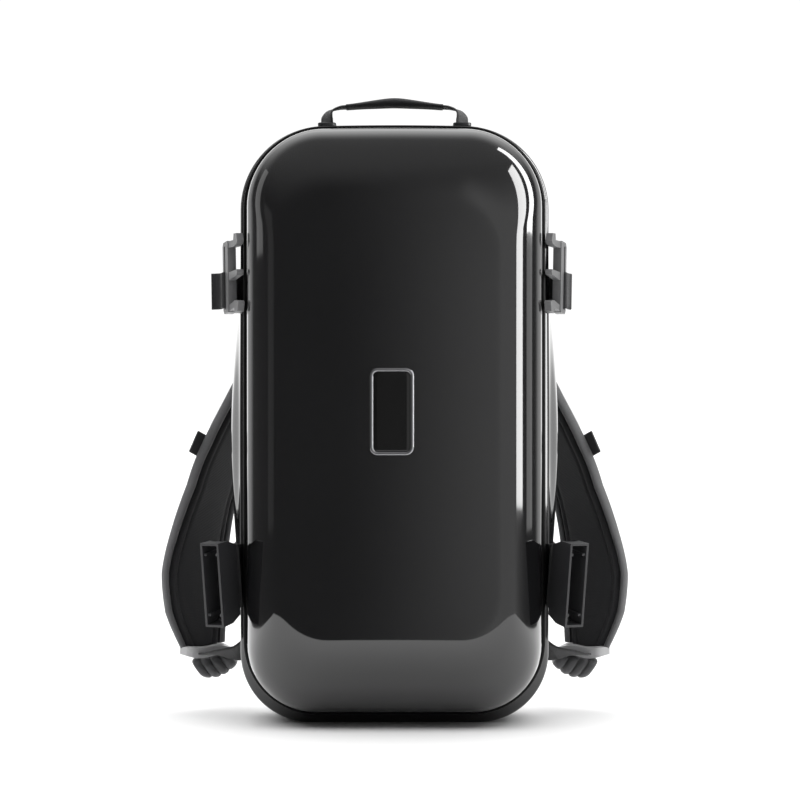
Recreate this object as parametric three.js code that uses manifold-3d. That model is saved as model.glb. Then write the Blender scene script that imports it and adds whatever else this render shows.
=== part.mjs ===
// Hard shell backpack: two moulded half shells that meet at a beaded zip seam, a carry handle on top,
// a padded back with two curved shoulder straps, and an open side-release buckle pair on each flank.
// Millimetres, +Z up, the front faces -Y, and the origin is the middle of the overall box's base.
import * as THREE from 'three';
import * as BufferGeometryUtils from 'three/addons/utils/BufferGeometryUtils.js';
import Module from 'manifold-3d';

const wasm = await Module();
wasm.setup();

// Clearances
const gap = 0.3; // between pieces that lie against each other

// Shell outline at the seam
const rimHalf = 119.5; // half the front shell's width at the seam
const rimHeight = 473.2; // front shell's height at the seam
const baseLift = 11.8; // front shell's lowest edge above the floor
const topCorner = 61; // corner radii of the outline
const baseCorner = 56;
const topCrown = 3; // how far the top edge is bowed up
const shellWall = 2.5;

// Front shell
const frontDepth = 60;
const frontDraft = 5; // how far the side walls lean in before the edge rounding
const frontDome = 4; // how far the face is bowed forward
const frontEdgeDepth = 45; // depth of the rounded edge
const frontSideRound = 30; // width of the rounded edge along the sides
const frontEndRound = 60; // height of the rounded edge at the top and the base
const faceCornerShrink = 0.42; // share by which the corners tighten towards the face

// Seam bead and zip band, behind the front shell's rim
const beadStand = 3.5; // how far the bead stands out from the rim
const beadSeat = 3; // how far it reaches in behind the wall
const beadWidth = 6;
const bandWidth = 12;
const bandThick = 2;
const bandStand = 0.4; // zip band's outer face, out from the rim
const coilStand = 0.9; // coil's ridge along the middle of the band
const sliderLength = 16;
const sliderStand = 2.4;
const sliderLevel = 430;

// Rear shell
const rearDepth = 96;
const rearLip = 1.5; // rear shell's rim, out from the front shell's
const rearFlare = 7; // its flanks, out from the front shell's rim
const rearTopFlare = 5;
const rearFlareDepth = 6; // depth over which it flares out
const rearEdgeRound = 22; // rounding between the flanks and the back
const bellyStand = 9.4; // how far the flanks bulge at their widest
const bellyLevel = 232; // level of the widest place
const bellyReach = 190; // how far above and below it the bulge dies out
const bellyDepth = 40; // depth over which the bulge grows

// Back pad
const padThick = 15;
const padInset = 14.5; // its edge, in from the rear shell's flanks
const padBaseInset = 26;
const padTopInset = 20;
const padCorner = 45;
const padEdgeRound = 7;

// Badge, a raised frame round a bare plate
const badgeWidth = 35;
const badgeHeight = 69.2;
const badgeCorner = 6.4;
const badgeRim = 2.6; // width of the frame's bars
const badgeStand = 2.2;
const badgePlateThick = 1.2;
const badgeLevel = 255.4;
const badgeOffset = -2; // off the middle line

// Carry handle
const handleDepth = 45; // its middle, back from the seam
const handleSpan = 111.5; // between the feet, webbing middle to middle
const handleRise = 20.2; // webbing's middle above the shell's top
const handleWebWide = 25;
const handleWebThick = 1.8;
const handleLegTurn = 22; // degrees that the legs turn their face forwards
const gripSpan = 80;
const gripThick = 7.6;
const gripEndThick = 3.9;
const gripWide = 29;
const anchorThick = 3;
const anchorWide = 15;
const anchorLong = 30;

// Shoulder straps
const strapRise = 388; // from the foot of the padded strap up to its seat on the pad
const strapFoot = 54; // level of the foot
const strapBow = 50; // how far it arches back from the pad
const strapSpread = 124.5; // from its seat out to its widest place
const strapSeat = 48; // its seat, out from the middle line
const strapWide = 62;
const strapThick = 11;
const strapTabWide = 20;
const strapTabReach = 7; // how far the tab stands out from the strap's edge
const webThick = 1.5;

// Strap adjusters, the webbing from them to the pad, and its rolled-up spare length
const adjusterWide = 41;
const adjusterLong = 26;
const adjusterThick = 6;
const adjusterSlot = 4.5;
const adjusterBar = 5;
const adjusterWeb = 25;
const adjusterTurn = 25; // degrees
const adjusterCorner = 5;
const adjusterShift = 3; // its middle, in from the middle of the strap's foot
const adjusterDrop = 2.6; // its upper face, below the strap's foot
const webLead = 4; // straight webbing out of the adjuster
const webTurn = 7; // the bend after it, inwards and forwards
const rollLong = 37; // the roll's width across, and its height
const rollHigh = 16;
const rollTurns = 2.25;
const tabLevel = 62; // where the lower webbing is sewn to the pad
const tabInset = 20; // its end, in from the pad's flank

// Side straps and buckles
const sideWebThick = 1.8;
const lowerWebLead = 12; // where the lower strap leaves the flank, behind the flare
const upperWebLead = 12; // where the upper strap starts to lift, behind the plug's base
const tailLead = 7; // where the lower strap lies flat behind the socket's tail
const flankSlack = 0.5; // how far the side straps stand off the bulging flank
const lowerWebWide = 50;
const upperWebWide = 30;
const socketLevel = 115.4; // middle of the socket's mouth
const socketForward = 30; // mouth in front of the seam
const socketStand = 27.3; // mouth out from the seam's edge
const socketSplay = 27; // degrees that it points outwards
const socketDroop = 8;
const socketWide = 68.5;
const socketTailWide = 56;
const socketThick = 17;
const socketTailThick = 6.5;
const socketLong = 38;
const socketMouthLong = 28;
const socketWall = 1.9;
const socketChamfer = 3; // corners of its tail
const socketTaper = 0.6; // how far its sides narrow up to the shoulder
const socketShoulder = 15.4; // from the mouth back to where its sides turn in
const windowBack = 8; // side windows, behind and before the shoulder
const windowFore = 3;
const guideWide = 2.2; // guide ribs in the mouth
const guideHigh = 2.4;
const guideShare = 0.72; // their place, as a share of half the width
const clipLevel = 366; // middle of the plug's base, where the prongs start
const clipBack = 19; // that place behind the seam
const clipStand = 6.6; // out from the rear shell's flank
const clipSplay = 15; // degrees that it points inwards
const clipLift = 4.5;
const clipWide = 59;
const clipBaseLong = 20;
const clipThick = 7;
const prongLong = 34;
const prongWide = 6.5;
const prongThick = 5.5;
const prongHook = 3.2;
const clipChamfer = 3; // corners of its base
const clipSlotEnd = 3.5; // its slot's end, in from the base's side
const postWide = 6.8; // its middle post
const slotWide = 5; // webbing slots of both buckle halves
const barWide = 5; // the bars that the webbing goes round
const upperWebDrop = 10; // webbing below the middle of the plug's slot
const tailReachLeft = 7.5; // free webbing ends, out past the plug
const tailReachRight = 2;

// Derived places
const rimLow = baseLift;
const rimHigh = baseLift + rimHeight;
const beadFront = gap;
const bandFront = beadFront + beadWidth + gap;
const rearFront = bandFront + bandWidth + gap;
const rearBack = rearFront + rearDepth;
const rearHalf = rimHalf + rearFlare;
const rearHigh = rimHigh + rearTopFlare;
const padFront = rearBack + gap;
const padBack = padFront + padThick;
const padHalf = rearHalf - padInset;
const padLow = padBaseInset;
const padHigh = rearHigh - padTopInset;
const socketOut = rimHalf + socketStand;
const clipOut = rearHalf + clipStand;

const degrees = Math.PI / 180;
const cornerSteps = 7;
const sideSteps = 6;
const endSteps = 4;

// Mixes two numbers
function mix(a, b, share) {
  return a + (b - a) * share;
}

// Eases a share of 0 to 1, level at both ends
function ease(share) {
  const s = Math.min(Math.max(share, 0), 1);
  return s * s * (3 - 2 * s);
}

// The flanks' bulge at a level, as a share of its widest
function bellyShare(level) {
  const away = Math.min(Math.abs(level - bellyLevel) / bellyReach, 1);
  return 0.5 + 0.5 * Math.cos(Math.PI * away);
}

// A rounded outline seen from the front, anticlockwise from the right flank's foot, at depth y
function outline({ half, low, high, top, base, crown = 0, belly = 0, y }) {
  const points = [];
  const middle = (low + high) / 2;
  const add = (x, z) => {
    const wide = x * (1 + belly * bellyShare(z) / half);
    const near = ease((z - middle) / (high - top - middle));
    points.push(new THREE.Vector3(wide, y, z - crown * (x / half) ** 2 * near));
  };
  const run = (steps, place) => {
    for (let i = 0; i < steps; i++) add(...place(i / steps));
  };
  const corner = (x, z, radius, from) => (share) => {
    const angle = (from + 90 * share) * degrees;
    return [x + radius * Math.cos(angle), z + radius * Math.sin(angle)];
  };
  run(sideSteps, (s) => [half, mix(low + base, high - top, s)]);
  run(cornerSteps, corner(half - top, high - top, top, 0));
  run(endSteps, (s) => [mix(half - top, top - half, s), high]);
  run(cornerSteps, corner(top - half, high - top, top, 90));
  run(sideSteps, (s) => [-half, mix(high - top, low + base, s)]);
  run(cornerSteps, corner(base - half, low + base, base, 180));
  run(endSteps, (s) => [mix(base - half, half - base, s), low]);
  run(cornerSteps, corner(half - base, low + base, base, 270));
  return points;
}

// Joins rings of points into one closed body: a run with closed ends, or a hoop that meets itself
function skin(rings, hoop = false) {
  const count = rings[0].length;
  const points = rings.flat();
  const faces = [];
  const spans = hoop ? rings.length : rings.length - 1;
  for (let r = 0; r < spans; r++) {
    const here = r * count;
    const next = ((r + 1) % rings.length) * count;
    for (let i = 0; i < count; i++) {
      const j = (i + 1) % count;
      faces.push([here + i, here + j, next + j], [here + i, next + j, next + i]);
    }
  }
  if (!hoop) {
    const close = (ring, first, flip) => {
      const centre = new THREE.Vector3();
      for (const p of ring) centre.addScaledVector(p, 1 / count);
      const tip = points.push(centre) - 1;
      for (let i = 0; i < count; i++) {
        const j = (i + 1) % count;
        faces.push(flip ? [tip, first + j, first + i] : [tip, first + i, first + j]);
      }
    };
    close(rings[0], 0, true);
    close(rings[rings.length - 1], (rings.length - 1) * count, false);
  }
  const cross = new THREE.Vector3();
  let volume = 0;
  for (const [a, b, c] of faces) volume += points[a].dot(cross.crossVectors(points[b], points[c]));
  const index = volume > 0 ? faces.flat() : faces.map(([a, b, c]) => [a, c, b]).flat();
  return meshGeometry(points, index);
}

function meshGeometry(points, index) {
  const geometry = new THREE.BufferGeometry().setFromPoints(points);
  geometry.setIndex(index);
  return geometry;
}

// The same piece on the other flank
function mirrored(geometry) {
  const copy = geometry.clone();
  const place = copy.getAttribute('position');
  for (let i = 0; i < place.count; i++) place.setX(i, -place.getX(i));
  const index = copy.getIndex().array;
  for (let i = 0; i < index.length; i += 3) [index[i + 1], index[i + 2]] = [index[i + 2], index[i + 1]];
  return copy;
}

// Solids for joining and cutting, and back again
function solid(geometry) {
  const bare = geometry.clone();
  bare.deleteAttribute('normal');
  bare.deleteAttribute('uv');
  const merged = BufferGeometryUtils.mergeVertices(bare, 1e-4);
  return new wasm.Manifold(new wasm.Mesh({
    numProp: 3,
    vertProperties: new Float32Array(merged.getAttribute('position').array),
    triVerts: new Uint32Array(merged.getIndex().array),
  }));
}

function surface(manifold) {
  const mesh = manifold.getMesh();
  const geometry = new THREE.BufferGeometry();
  geometry.setAttribute('position', new THREE.BufferAttribute(new Float32Array(mesh.vertProperties), 3));
  geometry.setIndex(new THREE.BufferAttribute(new Uint32Array(mesh.triVerts), 1));
  return geometry;
}

// A block between two corners
function block([x0, y0, z0], [x1, y1, z1]) {
  const box = new THREE.BoxGeometry(x1 - x0, y1 - y0, z1 - z0);
  return solid(box.translate((x0 + x1) / 2, (y0 + y1) / 2, (z0 + z1) / 2));
}

// A flat outline in X and Z, thick along Y about its middle
function plate(points, thick) {
  const shape = new THREE.Shape(points.map(([x, z]) => new THREE.Vector2(x, z)));
  const flat = new THREE.ExtrudeGeometry(shape, { depth: thick, bevelEnabled: false });
  return solid(flat.translate(0, 0, -thick / 2).rotateX(Math.PI / 2));
}

// Corners of a rounded rectangle in X and Z
function roundedRectangle(wide, high, radius, steps = 4) {
  const points = [];
  for (let q = 0; q < 4; q++) {
    const x = (q === 0 || q === 3 ? 1 : -1) * (wide / 2 - radius);
    const z = (q < 2 ? 1 : -1) * (high / 2 - radius);
    for (let i = 0; i <= steps; i++) {
      const angle = (q + i / steps) * 90 * degrees;
      points.push([x + radius * Math.cos(angle), z + radius * Math.sin(angle)]);
    }
  }
  return points;
}

// Where a strap runs, and how it faces, at a share of its stations
function strapFrame(stations, share) {
  const curve = new THREE.CatmullRomCurve3(stations.map((s) => s.at), false, 'centripetal');
  const place = share * (stations.length - 1);
  const i = Math.min(Math.floor(place), stations.length - 2);
  const part = place - i;
  const along = curve.getTangent(share);
  const across = stations[i].across.clone().lerp(stations[i + 1].across, part);
  across.addScaledVector(along, -across.dot(along)).normalize();
  return {
    at: curve.getPoint(share),
    along,
    across,
    out: new THREE.Vector3().crossVectors(along, across),
    wide: mix(stations[i].wide, stations[i + 1].wide, part),
    thick: mix(stations[i].thick, stations[i + 1].thick, part),
  };
}

// Sections of a strap, as shares of half its width and half its thickness
const webbingSection = [[1, 1], [-1, 1], [-1, -1], [1, -1]];
const paddedSection = [
  [1, 0.4], [0.88, 1], [-0.88, 1], [-1, 0.4], [-1, -0.4], [-0.88, -1], [0.88, -1], [1, -0.4],
];

// The rings of a strap that follows its stations
function strapRings(stations, steps, section) {
  const rings = [];
  for (let i = 0; i <= steps; i++) {
    const f = strapFrame(stations, i / steps);
    rings.push(section.map(([a, o]) => f.at.clone()
      .addScaledVector(f.across, a * f.wide / 2)
      .addScaledVector(f.out, o * f.thick / 2)));
  }
  return rings;
}

function strap(stations, steps, section = webbingSection) {
  return skin(strapRings(stations, steps, section));
}

// The front shell's outline where its wall has turned by an angle, on the outer or the inner face
function frontRing(angle, inner) {
  const turned = 1 - Math.cos(angle * degrees);
  const draft = frontDraft * Math.min(angle / 15, 1);
  const wall = inner ? shellWall : 0;
  const inward = wall * Math.cos(angle * degrees);
  const side = draft + frontSideRound * turned;
  const end = draft + frontEndRound * turned;
  const straight = frontDepth - frontDome - frontEdgeDepth;
  const depth = (angle > 0 ? straight : 0) + frontEdgeDepth * Math.sin(angle * degrees);
  const back = angle > 0 ? wall * Math.sin(angle * degrees) : 0;
  const tighter = 1 - faceCornerShrink * turned;
  return outline({
    half: rimHalf - side - inward,
    low: rimLow + end + inward,
    high: rimHigh - end - inward,
    top: topCorner * tighter - inward,
    base: baseCorner * tighter - inward,
    crown: topCrown,
    y: back - depth,
  });
}

// A ring of the domed face, at a share of its way in from the rounded edge to the middle
function faceRing(share, inner) {
  const edge = frontRing(90, inner);
  const middle = (rimLow + rimHigh) / 2;
  const bow = frontDome * (1 - (1 - share) ** 2) / (1 - 0.4 ** 2);
  return edge.map((p) => new THREE.Vector3(p.x * (1 - share), p.y - bow, mix(p.z, middle, share)));
}

function frontShell() {
  const outerAngles = [0, 4, 16, 30, 44, 58, 72, 82, 90];
  const innerAngles = [90, 68, 44, 20, 0];
  const outer = outerAngles.map((angle) => frontRing(angle, false));
  const inner = innerAngles.map((angle) => frontRing(angle, true));
  return skin([
    faceRing(0.6, false), faceRing(0.25, false),
    ...outer.reverse(),
    ...inner.reverse(),
    faceRing(0.25, true), faceRing(0.6, true),
  ]);
}

// A band's outline that follows the seam, out from the rim by a distance
function seamRing(out, y) {
  return outline({
    half: rimHalf + out,
    low: rimLow - out,
    high: rimHigh + out,
    top: topCorner + out,
    base: baseCorner + out,
    crown: topCrown,
    y,
  });
}

function seamBead() {
  const middle = beadFront + beadWidth / 2;
  const round = beadWidth / 2;
  const rings = [seamRing(-beadSeat, beadFront)];
  for (let angle = -90; angle <= 90; angle += 45) {
    const out = beadStand - round + round * Math.cos(angle * degrees);
    rings.push(seamRing(out, middle + round * Math.sin(angle * degrees)));
  }
  rings.push(seamRing(-beadSeat, beadFront + beadWidth));
  return skin(rings, true);
}

function zipBand() {
  const coil = 2.4; // half the width of the coil's ridge
  const middle = bandFront + bandWidth / 2;
  return skin([
    seamRing(bandStand - bandThick, bandFront),
    seamRing(bandStand, bandFront),
    seamRing(bandStand, middle - coil),
    seamRing(bandStand + coilStand, middle - coil / 2),
    seamRing(bandStand + coilStand, middle + coil / 2),
    seamRing(bandStand, middle + coil),
    seamRing(bandStand, bandFront + bandWidth),
    seamRing(bandStand - bandThick, bandFront + bandWidth),
  ], true);
}

// One plain slider on the coil, on the right flank
function zipSlider() {
  const seat = rimHalf + bandStand + coilStand + gap;
  const wide = bandWidth * 0.6;
  const body = block([0, -wide / 2, -sliderLength / 2], [sliderStand * 0.6, wide / 2, sliderLength / 2]);
  const pull = block([0, -wide / 5, -sliderLength * 0.9], [sliderStand, wide / 5, sliderLength * 0.3]);
  const geometry = surface(body.add(pull));
  const level = Math.min(sliderLevel, rimHigh - topCorner);
  return geometry.translate(seat, bandFront + bandWidth / 2, level);
}

// The rear shell's outline at a depth behind its rim, on the outer or the inner face
function rearRing(depth, inset) {
  const flare = Math.sin(Math.min(depth / rearFlareDepth, 1) * 90 * degrees);
  const out = mix(rearLip, rearFlare, flare) - inset;
  const topOut = mix(rearLip, rearTopFlare, flare) - inset;
  const baseOut = mix(rearLip, baseLift, flare) - inset;
  return outline({
    half: rimHalf + out,
    low: rimLow - baseOut,
    high: rimHigh + topOut,
    top: topCorner + topOut,
    base: baseCorner + rearLip - inset,
    crown: topCrown,
    belly: bellyStand * ease(depth / bellyDepth),
    y: rearFront + depth,
  });
}

function rearShell() {
  const flank = rearDepth - rearEdgeRound;
  const depths = [0, 0.35, 0.7, 1].map((s) => s * rearFlareDepth);
  depths.push(mix(rearFlareDepth, bellyDepth, 0.35), mix(rearFlareDepth, bellyDepth, 0.7), bellyDepth, flank);
  const outer = depths.map((depth) => rearRing(depth, 0));
  for (const angle of [22.5, 45, 67.5, 90]) {
    const turned = rearEdgeRound * (1 - Math.cos(angle * degrees));
    outer.push(rearRing(flank + rearEdgeRound * Math.sin(angle * degrees), turned));
  }
  const innerDepths = [0, rearFlareDepth, mix(rearFlareDepth, bellyDepth, 0.5), bellyDepth, flank];
  const inner = innerDepths.map((depth) => rearRing(depth, shellWall));
  for (const angle of [45, 90]) {
    const turned = rearEdgeRound * (1 - Math.cos(angle * degrees));
    const inward = shellWall * Math.cos(angle * degrees);
    const depth = flank + (rearEdgeRound - shellWall) * Math.sin(angle * degrees);
    inner.push(rearRing(depth, turned + inward));
  }
  return skin([...outer.reverse(), ...inner]);
}

// Half the rear shell's width at a depth behind the seam and a level, clear of the corners
function flankAt(y, level) {
  const depth = y - rearFront;
  const flare = depth < 0 ? 0 : Math.sin(Math.min(depth / rearFlareDepth, 1) * 90 * degrees);
  const round = Math.max(depth - (rearDepth - rearEdgeRound), 0) / rearEdgeRound;
  const turned = rearEdgeRound * (1 - Math.sqrt(Math.max(1 - round ** 2, 0)));
  const belly = bellyStand * ease(depth / bellyDepth) * bellyShare(level);
  return rimHalf + mix(rearLip, rearFlare, flare) + belly - turned;
}

function backPad() {
  const ring = (depth, inset) => outline({
    half: padHalf - inset,
    low: padLow + inset,
    high: padHigh - inset,
    top: padCorner - inset,
    base: padCorner - inset,
    crown: topCrown,
    y: padFront + depth,
  });
  const rings = [ring(0, padEdgeRound / 3), ring(padEdgeRound / 3, 0), ring(padThick - padEdgeRound, 0)];
  for (const angle of [30, 60, 90]) {
    const depth = padThick - padEdgeRound + padEdgeRound * Math.sin(angle * degrees);
    rings.push(ring(depth, padEdgeRound * (1 - Math.cos(angle * degrees))));
  }
  return skin(rings);
}

// Badge on the front face's flat middle
function badgeFrame() {
  const outer = plate(roundedRectangle(badgeWidth, badgeHeight, badgeCorner), badgeStand);
  const inside = roundedRectangle(
    badgeWidth - 2 * badgeRim,
    badgeHeight - 2 * badgeRim,
    badgeCorner - badgeRim,
  );
  return surface(outer.subtract(plate(inside, badgeStand * 2)));
}

function badgePlate() {
  const inset = 2 * (badgeRim + gap);
  const points = roundedRectangle(badgeWidth - inset, badgeHeight - inset, badgeCorner - badgeRim - gap);
  return surface(plate(points, badgePlateThick));
}

// Carry handle: rows from the left foot to the middle, as shares of half the span and of the rise
const handleTop = rearHigh + anchorThick + gap;
const handleShape = [
  { out: 1.0, up: 0.0, turn: 1 },
  { out: 1.0, up: 0.28, turn: 1 },
  { out: 0.95, up: 0.58, turn: 0.65 },
  { out: 0.82, up: 0.76, turn: 0.3 },
  { out: 0.66, up: 0.81, turn: 0 },
  { out: 0.3, up: 0.93, turn: 0 },
];

function handleStations() {
  const foot = handleTop + gap;
  const rise = rearHigh + handleRise - foot;
  const half = handleShape.map(({ out, up, turn }) => {
    const angle = handleLegTurn * turn * degrees;
    return {
      at: new THREE.Vector3(-out * handleSpan / 2, handleDepth, foot + up * rise),
      across: new THREE.Vector3(-Math.sin(angle), Math.cos(angle), 0),
      wide: handleWebWide,
      thick: handleWebThick,
    };
  });
  const flip = ({ at, across, wide, thick }) => ({
    at: new THREE.Vector3(-at.x, at.y, at.z),
    across: new THREE.Vector3(-across.x, across.y, across.z),
    wide,
    thick,
  });
  const middle = {
    at: new THREE.Vector3(0, handleDepth, foot + rise),
    across: new THREE.Vector3(0, 1, 0),
    wide: handleWebWide,
    thick: handleWebThick,
  };
  return [...half, middle, ...[...half].reverse().map(flip)];
}

function handleStrap() {
  return strap(handleStations(), 36);
}

// A padded sleeve round the handle's webbing
function handleGrip() {
  const stations = handleStations();
  const steps = 14;
  const outer = [];
  const inner = [];
  const section = [];
  for (let i = 0; i < 12; i++) section.push([Math.cos(i * 30 * degrees), Math.sin(i * 30 * degrees)]);
  const hollowSection = [
    [1, 0], [1, 1], [0.5, 1], [0, 1], [-0.5, 1], [-1, 1],
    [-1, 0], [-1, -1], [-0.5, -1], [0, -1], [0.5, -1], [1, -1],
  ];
  const square = (v) => Math.sign(v) * Math.min(Math.abs(v) * 1.2, 1);
  const edge = (gripSpan / 2) / (handleSpan / 2);
  const shareAt = (out) => {
    let low = 0;
    let high = 1;
    for (let i = 0; i < 30; i++) {
      const share = (low + high) / 2;
      if (strapFrame(stations, share).at.x < out * handleSpan / 2) low = share;
      else high = share;
    }
    return low;
  };
  for (let i = 0; i <= steps; i++) {
    const out = mix(-edge, edge, i / steps);
    const f = strapFrame(stations, shareAt(out));
    const full = ease(1 - Math.abs(out) / edge);
    const thick = mix(gripEndThick, gripThick, full) / 2;
    const hollow = handleWebThick / 2 + gap;
    outer.push(section.map(([a, o]) => f.at.clone()
      .addScaledVector(f.across, square(a) * gripWide / 2)
      .addScaledVector(f.out, o * Math.max(thick, hollow + 0.7))));
    inner.push(hollowSection.map(([a, o]) => f.at.clone()
      .addScaledVector(f.across, a * (handleWebWide / 2 + gap))
      .addScaledVector(f.out, o * hollow)));
  }
  return skin([...outer, ...inner.reverse()], true);
}

// A foot plate that carries the handle's end on the rear shell's top
function handleAnchor() {
  const points = roundedRectangle(anchorWide, anchorLong, anchorWide / 3, 3);
  return surface(plate(points, anchorThick).rotate([90, 0, 0]));
}

// Shoulder strap: rows from its seat on the pad down to its foot, as shares of the named sizes
const strapShape = [
  { out: 0.0, back: 0.0, up: 1.0, turn: 0, wide: 0.92, thick: 0.7 },
  { out: 0.0, back: 0.02, up: 0.98, turn: 0, wide: 0.93, thick: 0.7 },
  { out: 0.03, back: 0.34, up: 0.955, turn: 2, wide: 0.95, thick: 0.9 },
  { out: 0.1, back: 0.76, up: 0.89, turn: 6, wide: 1.0, thick: 1 },
  { out: 0.26, back: 0.98, up: 0.755, turn: 20, wide: 1.0, thick: 1 },
  { out: 0.53, back: 1.0, up: 0.578, turn: 40, wide: 0.98, thick: 1 },
  { out: 0.8, back: 0.88, up: 0.42, turn: 50, wide: 0.96, thick: 1 },
  { out: 0.895, back: 0.76, up: 0.33, turn: 49, wide: 0.95, thick: 1 },
  { out: 0.97, back: 0.6, up: 0.23, turn: 41, wide: 0.98, thick: 1 },
  { out: 1.0, back: 0.45, up: 0.15, turn: 31, wide: 1.0, thick: 1 },
  { out: 0.985, back: 0.33, up: 0.077, turn: 28, wide: 0.93, thick: 0.95 },
  { out: 0.94, back: 0.24, up: 0.0, turn: 25, wide: 0.66, thick: 0.6 },
];

function shoulderStations() {
  const seat = padBack + gap + strapThick * strapShape[0].thick / 2;
  return strapShape.map(({ out, back, up, turn, wide, thick }) => {
    const angle = turn * degrees;
    return {
      at: new THREE.Vector3(
        -strapSeat - out * strapSpread,
        seat + back * strapBow,
        strapFoot + up * strapRise,
      ),
      across: new THREE.Vector3(Math.cos(angle), Math.sin(angle), 0),
      wide: strapWide * wide,
      thick: strapThick * thick,
    };
  });
}

function shoulderStrap() {
  return strap(shoulderStations(), 33, paddedSection);
}

// A webbing tab sewn across the outside of the strap, standing out at its outer edge
function strapTab() {
  const f = strapFrame(shoulderStations(), 0.55);
  const side = f.out.y > 0 ? 1 : -1;
  const level = f.thick / 2 + gap + webThick / 2;
  const place = (across) => f.at.clone()
    .addScaledVector(f.across, across)
    .addScaledVector(f.out, side * level);
  const ends = [f.wide * 0.4, 0, -f.wide / 2 - strapTabReach];
  return strap(ends.map((across) => ({
    at: place(across), across: f.along, wide: strapTabWide, thick: webThick,
  })), 4);
}

// Strap adjuster: a plate with two webbing slots, under the foot of the shoulder strap
const foot = strapFrame(shoulderStations(), 1);
const adjusterAt = new THREE.Vector3(
  foot.at.x + adjusterShift,
  foot.at.y - adjusterLong * 0.2,
  strapFoot - adjusterThick / 2 - gap - adjusterDrop,
);

function adjuster() {
  const body = plate(roundedRectangle(adjusterWide, adjusterLong, adjusterCorner), adjusterThick);
  const slotHalf = adjusterWeb / 2 + 1.5;
  const slotMiddle = adjusterLong / 2 - adjusterBar - adjusterSlot / 2;
  let part = body;
  for (const z of [-slotMiddle, slotMiddle]) {
    part = part.subtract(block(
      [-slotHalf, -adjusterThick, z - adjusterSlot / 2],
      [slotHalf, adjusterThick, z + adjusterSlot / 2],
    ));
  }
  return surface(part.rotate([90, 0, 0]));
}

// Webbing from the adjuster's front edge round to the pad's lower corner
function lowerWebbing() {
  const turn = adjusterTurn * degrees;
  const across = new THREE.Vector3(Math.cos(turn), Math.sin(turn), 0);
  const forward = new THREE.Vector3(Math.sin(turn), -Math.cos(turn), 0);
  const start = adjusterAt.clone().addScaledVector(forward, adjusterLong / 2 + gap + 0.2);
  const seat = padBack + gap + webThick / 2;
  const edge = -padHalf;
  const row = (x, y, z, direction) => ({
    at: new THREE.Vector3(x, y, z), across: direction, wide: adjusterWeb, thick: webThick,
  });
  const past = start.clone().addScaledVector(forward, webLead);
  const upright = new THREE.Vector3(0.2, 0, -1);
  const bend = new THREE.Vector3(0.45, 0.75, -0.3);
  const flat = new THREE.Vector3(0.1, 0.9, -0.4);
  const twist = new THREE.Vector3(0.1, 0.4, -0.8);
  return strap([
    row(start.x, start.y, start.z, across),
    row(past.x, past.y, past.z, across),
    row(past.x + webTurn, past.y - webTurn + 1, past.z, bend),
    row(mix(past.x, edge, 0.4), past.y - webTurn - 1, mix(past.z, tabLevel, 0.15), flat),
    row(mix(past.x, edge, 0.75), mix(past.y, seat, 0.3), mix(past.z, tabLevel, 0.5), twist),
    row(edge + 1, seat + 0.6, mix(past.z, tabLevel, 0.9), upright),
    row(edge + padEdgeRound + webLead, seat, tabLevel, upright),
    row(edge + tabInset, seat, tabLevel, upright),
  ], 21);
}

// The spare webbing, rolled up flat and hung under the adjuster
function webbingRoll() {
  const axis = new THREE.Vector3(0.25, 0.92, -0.3).normalize();
  const long = new THREE.Vector3(1, 0, 0);
  long.addScaledVector(axis, -long.dot(axis)).normalize();
  const high = new THREE.Vector3().crossVectors(axis, long);
  const pitch = webThick + gap;
  const steps = Math.round(16 * rollTurns);
  const lean = adjusterWeb * 0.42 * Math.abs(axis.z);
  const drop = adjusterThick / 2 + gap + rollHigh / 2 * Math.abs(high.z) + lean;
  const centre = adjusterAt.clone().add(new THREE.Vector3(rollLong * 0.2, 0, -drop));
  const rings = [];
  for (let i = 0; i <= steps; i++) {
    const angle = (i / 16) * 2 * Math.PI + Math.PI * 0.4;
    const inward = pitch * i / 16;
    const at = (extra) => centre.clone()
      .addScaledVector(long, (rollLong / 2 - inward - extra) * Math.cos(angle))
      .addScaledVector(high, (rollHigh / 2 - inward - extra) * Math.sin(angle));
    const half = axis.clone().multiplyScalar(adjusterWeb / 2);
    rings.push([at(0).add(half), at(0).sub(half), at(webThick).sub(half), at(webThick).add(half)]);
  }
  return skin(rings);
}

// Buckle halves point along +X before they are turned, with their width along Z
function placed(mesh, out, y, level, splay, droop) {
  mesh.position.set(out, y, level);
  mesh.rotation.set(0, droop * degrees, (-90 - splay) * degrees, 'ZYX');
  return mesh;
}

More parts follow.
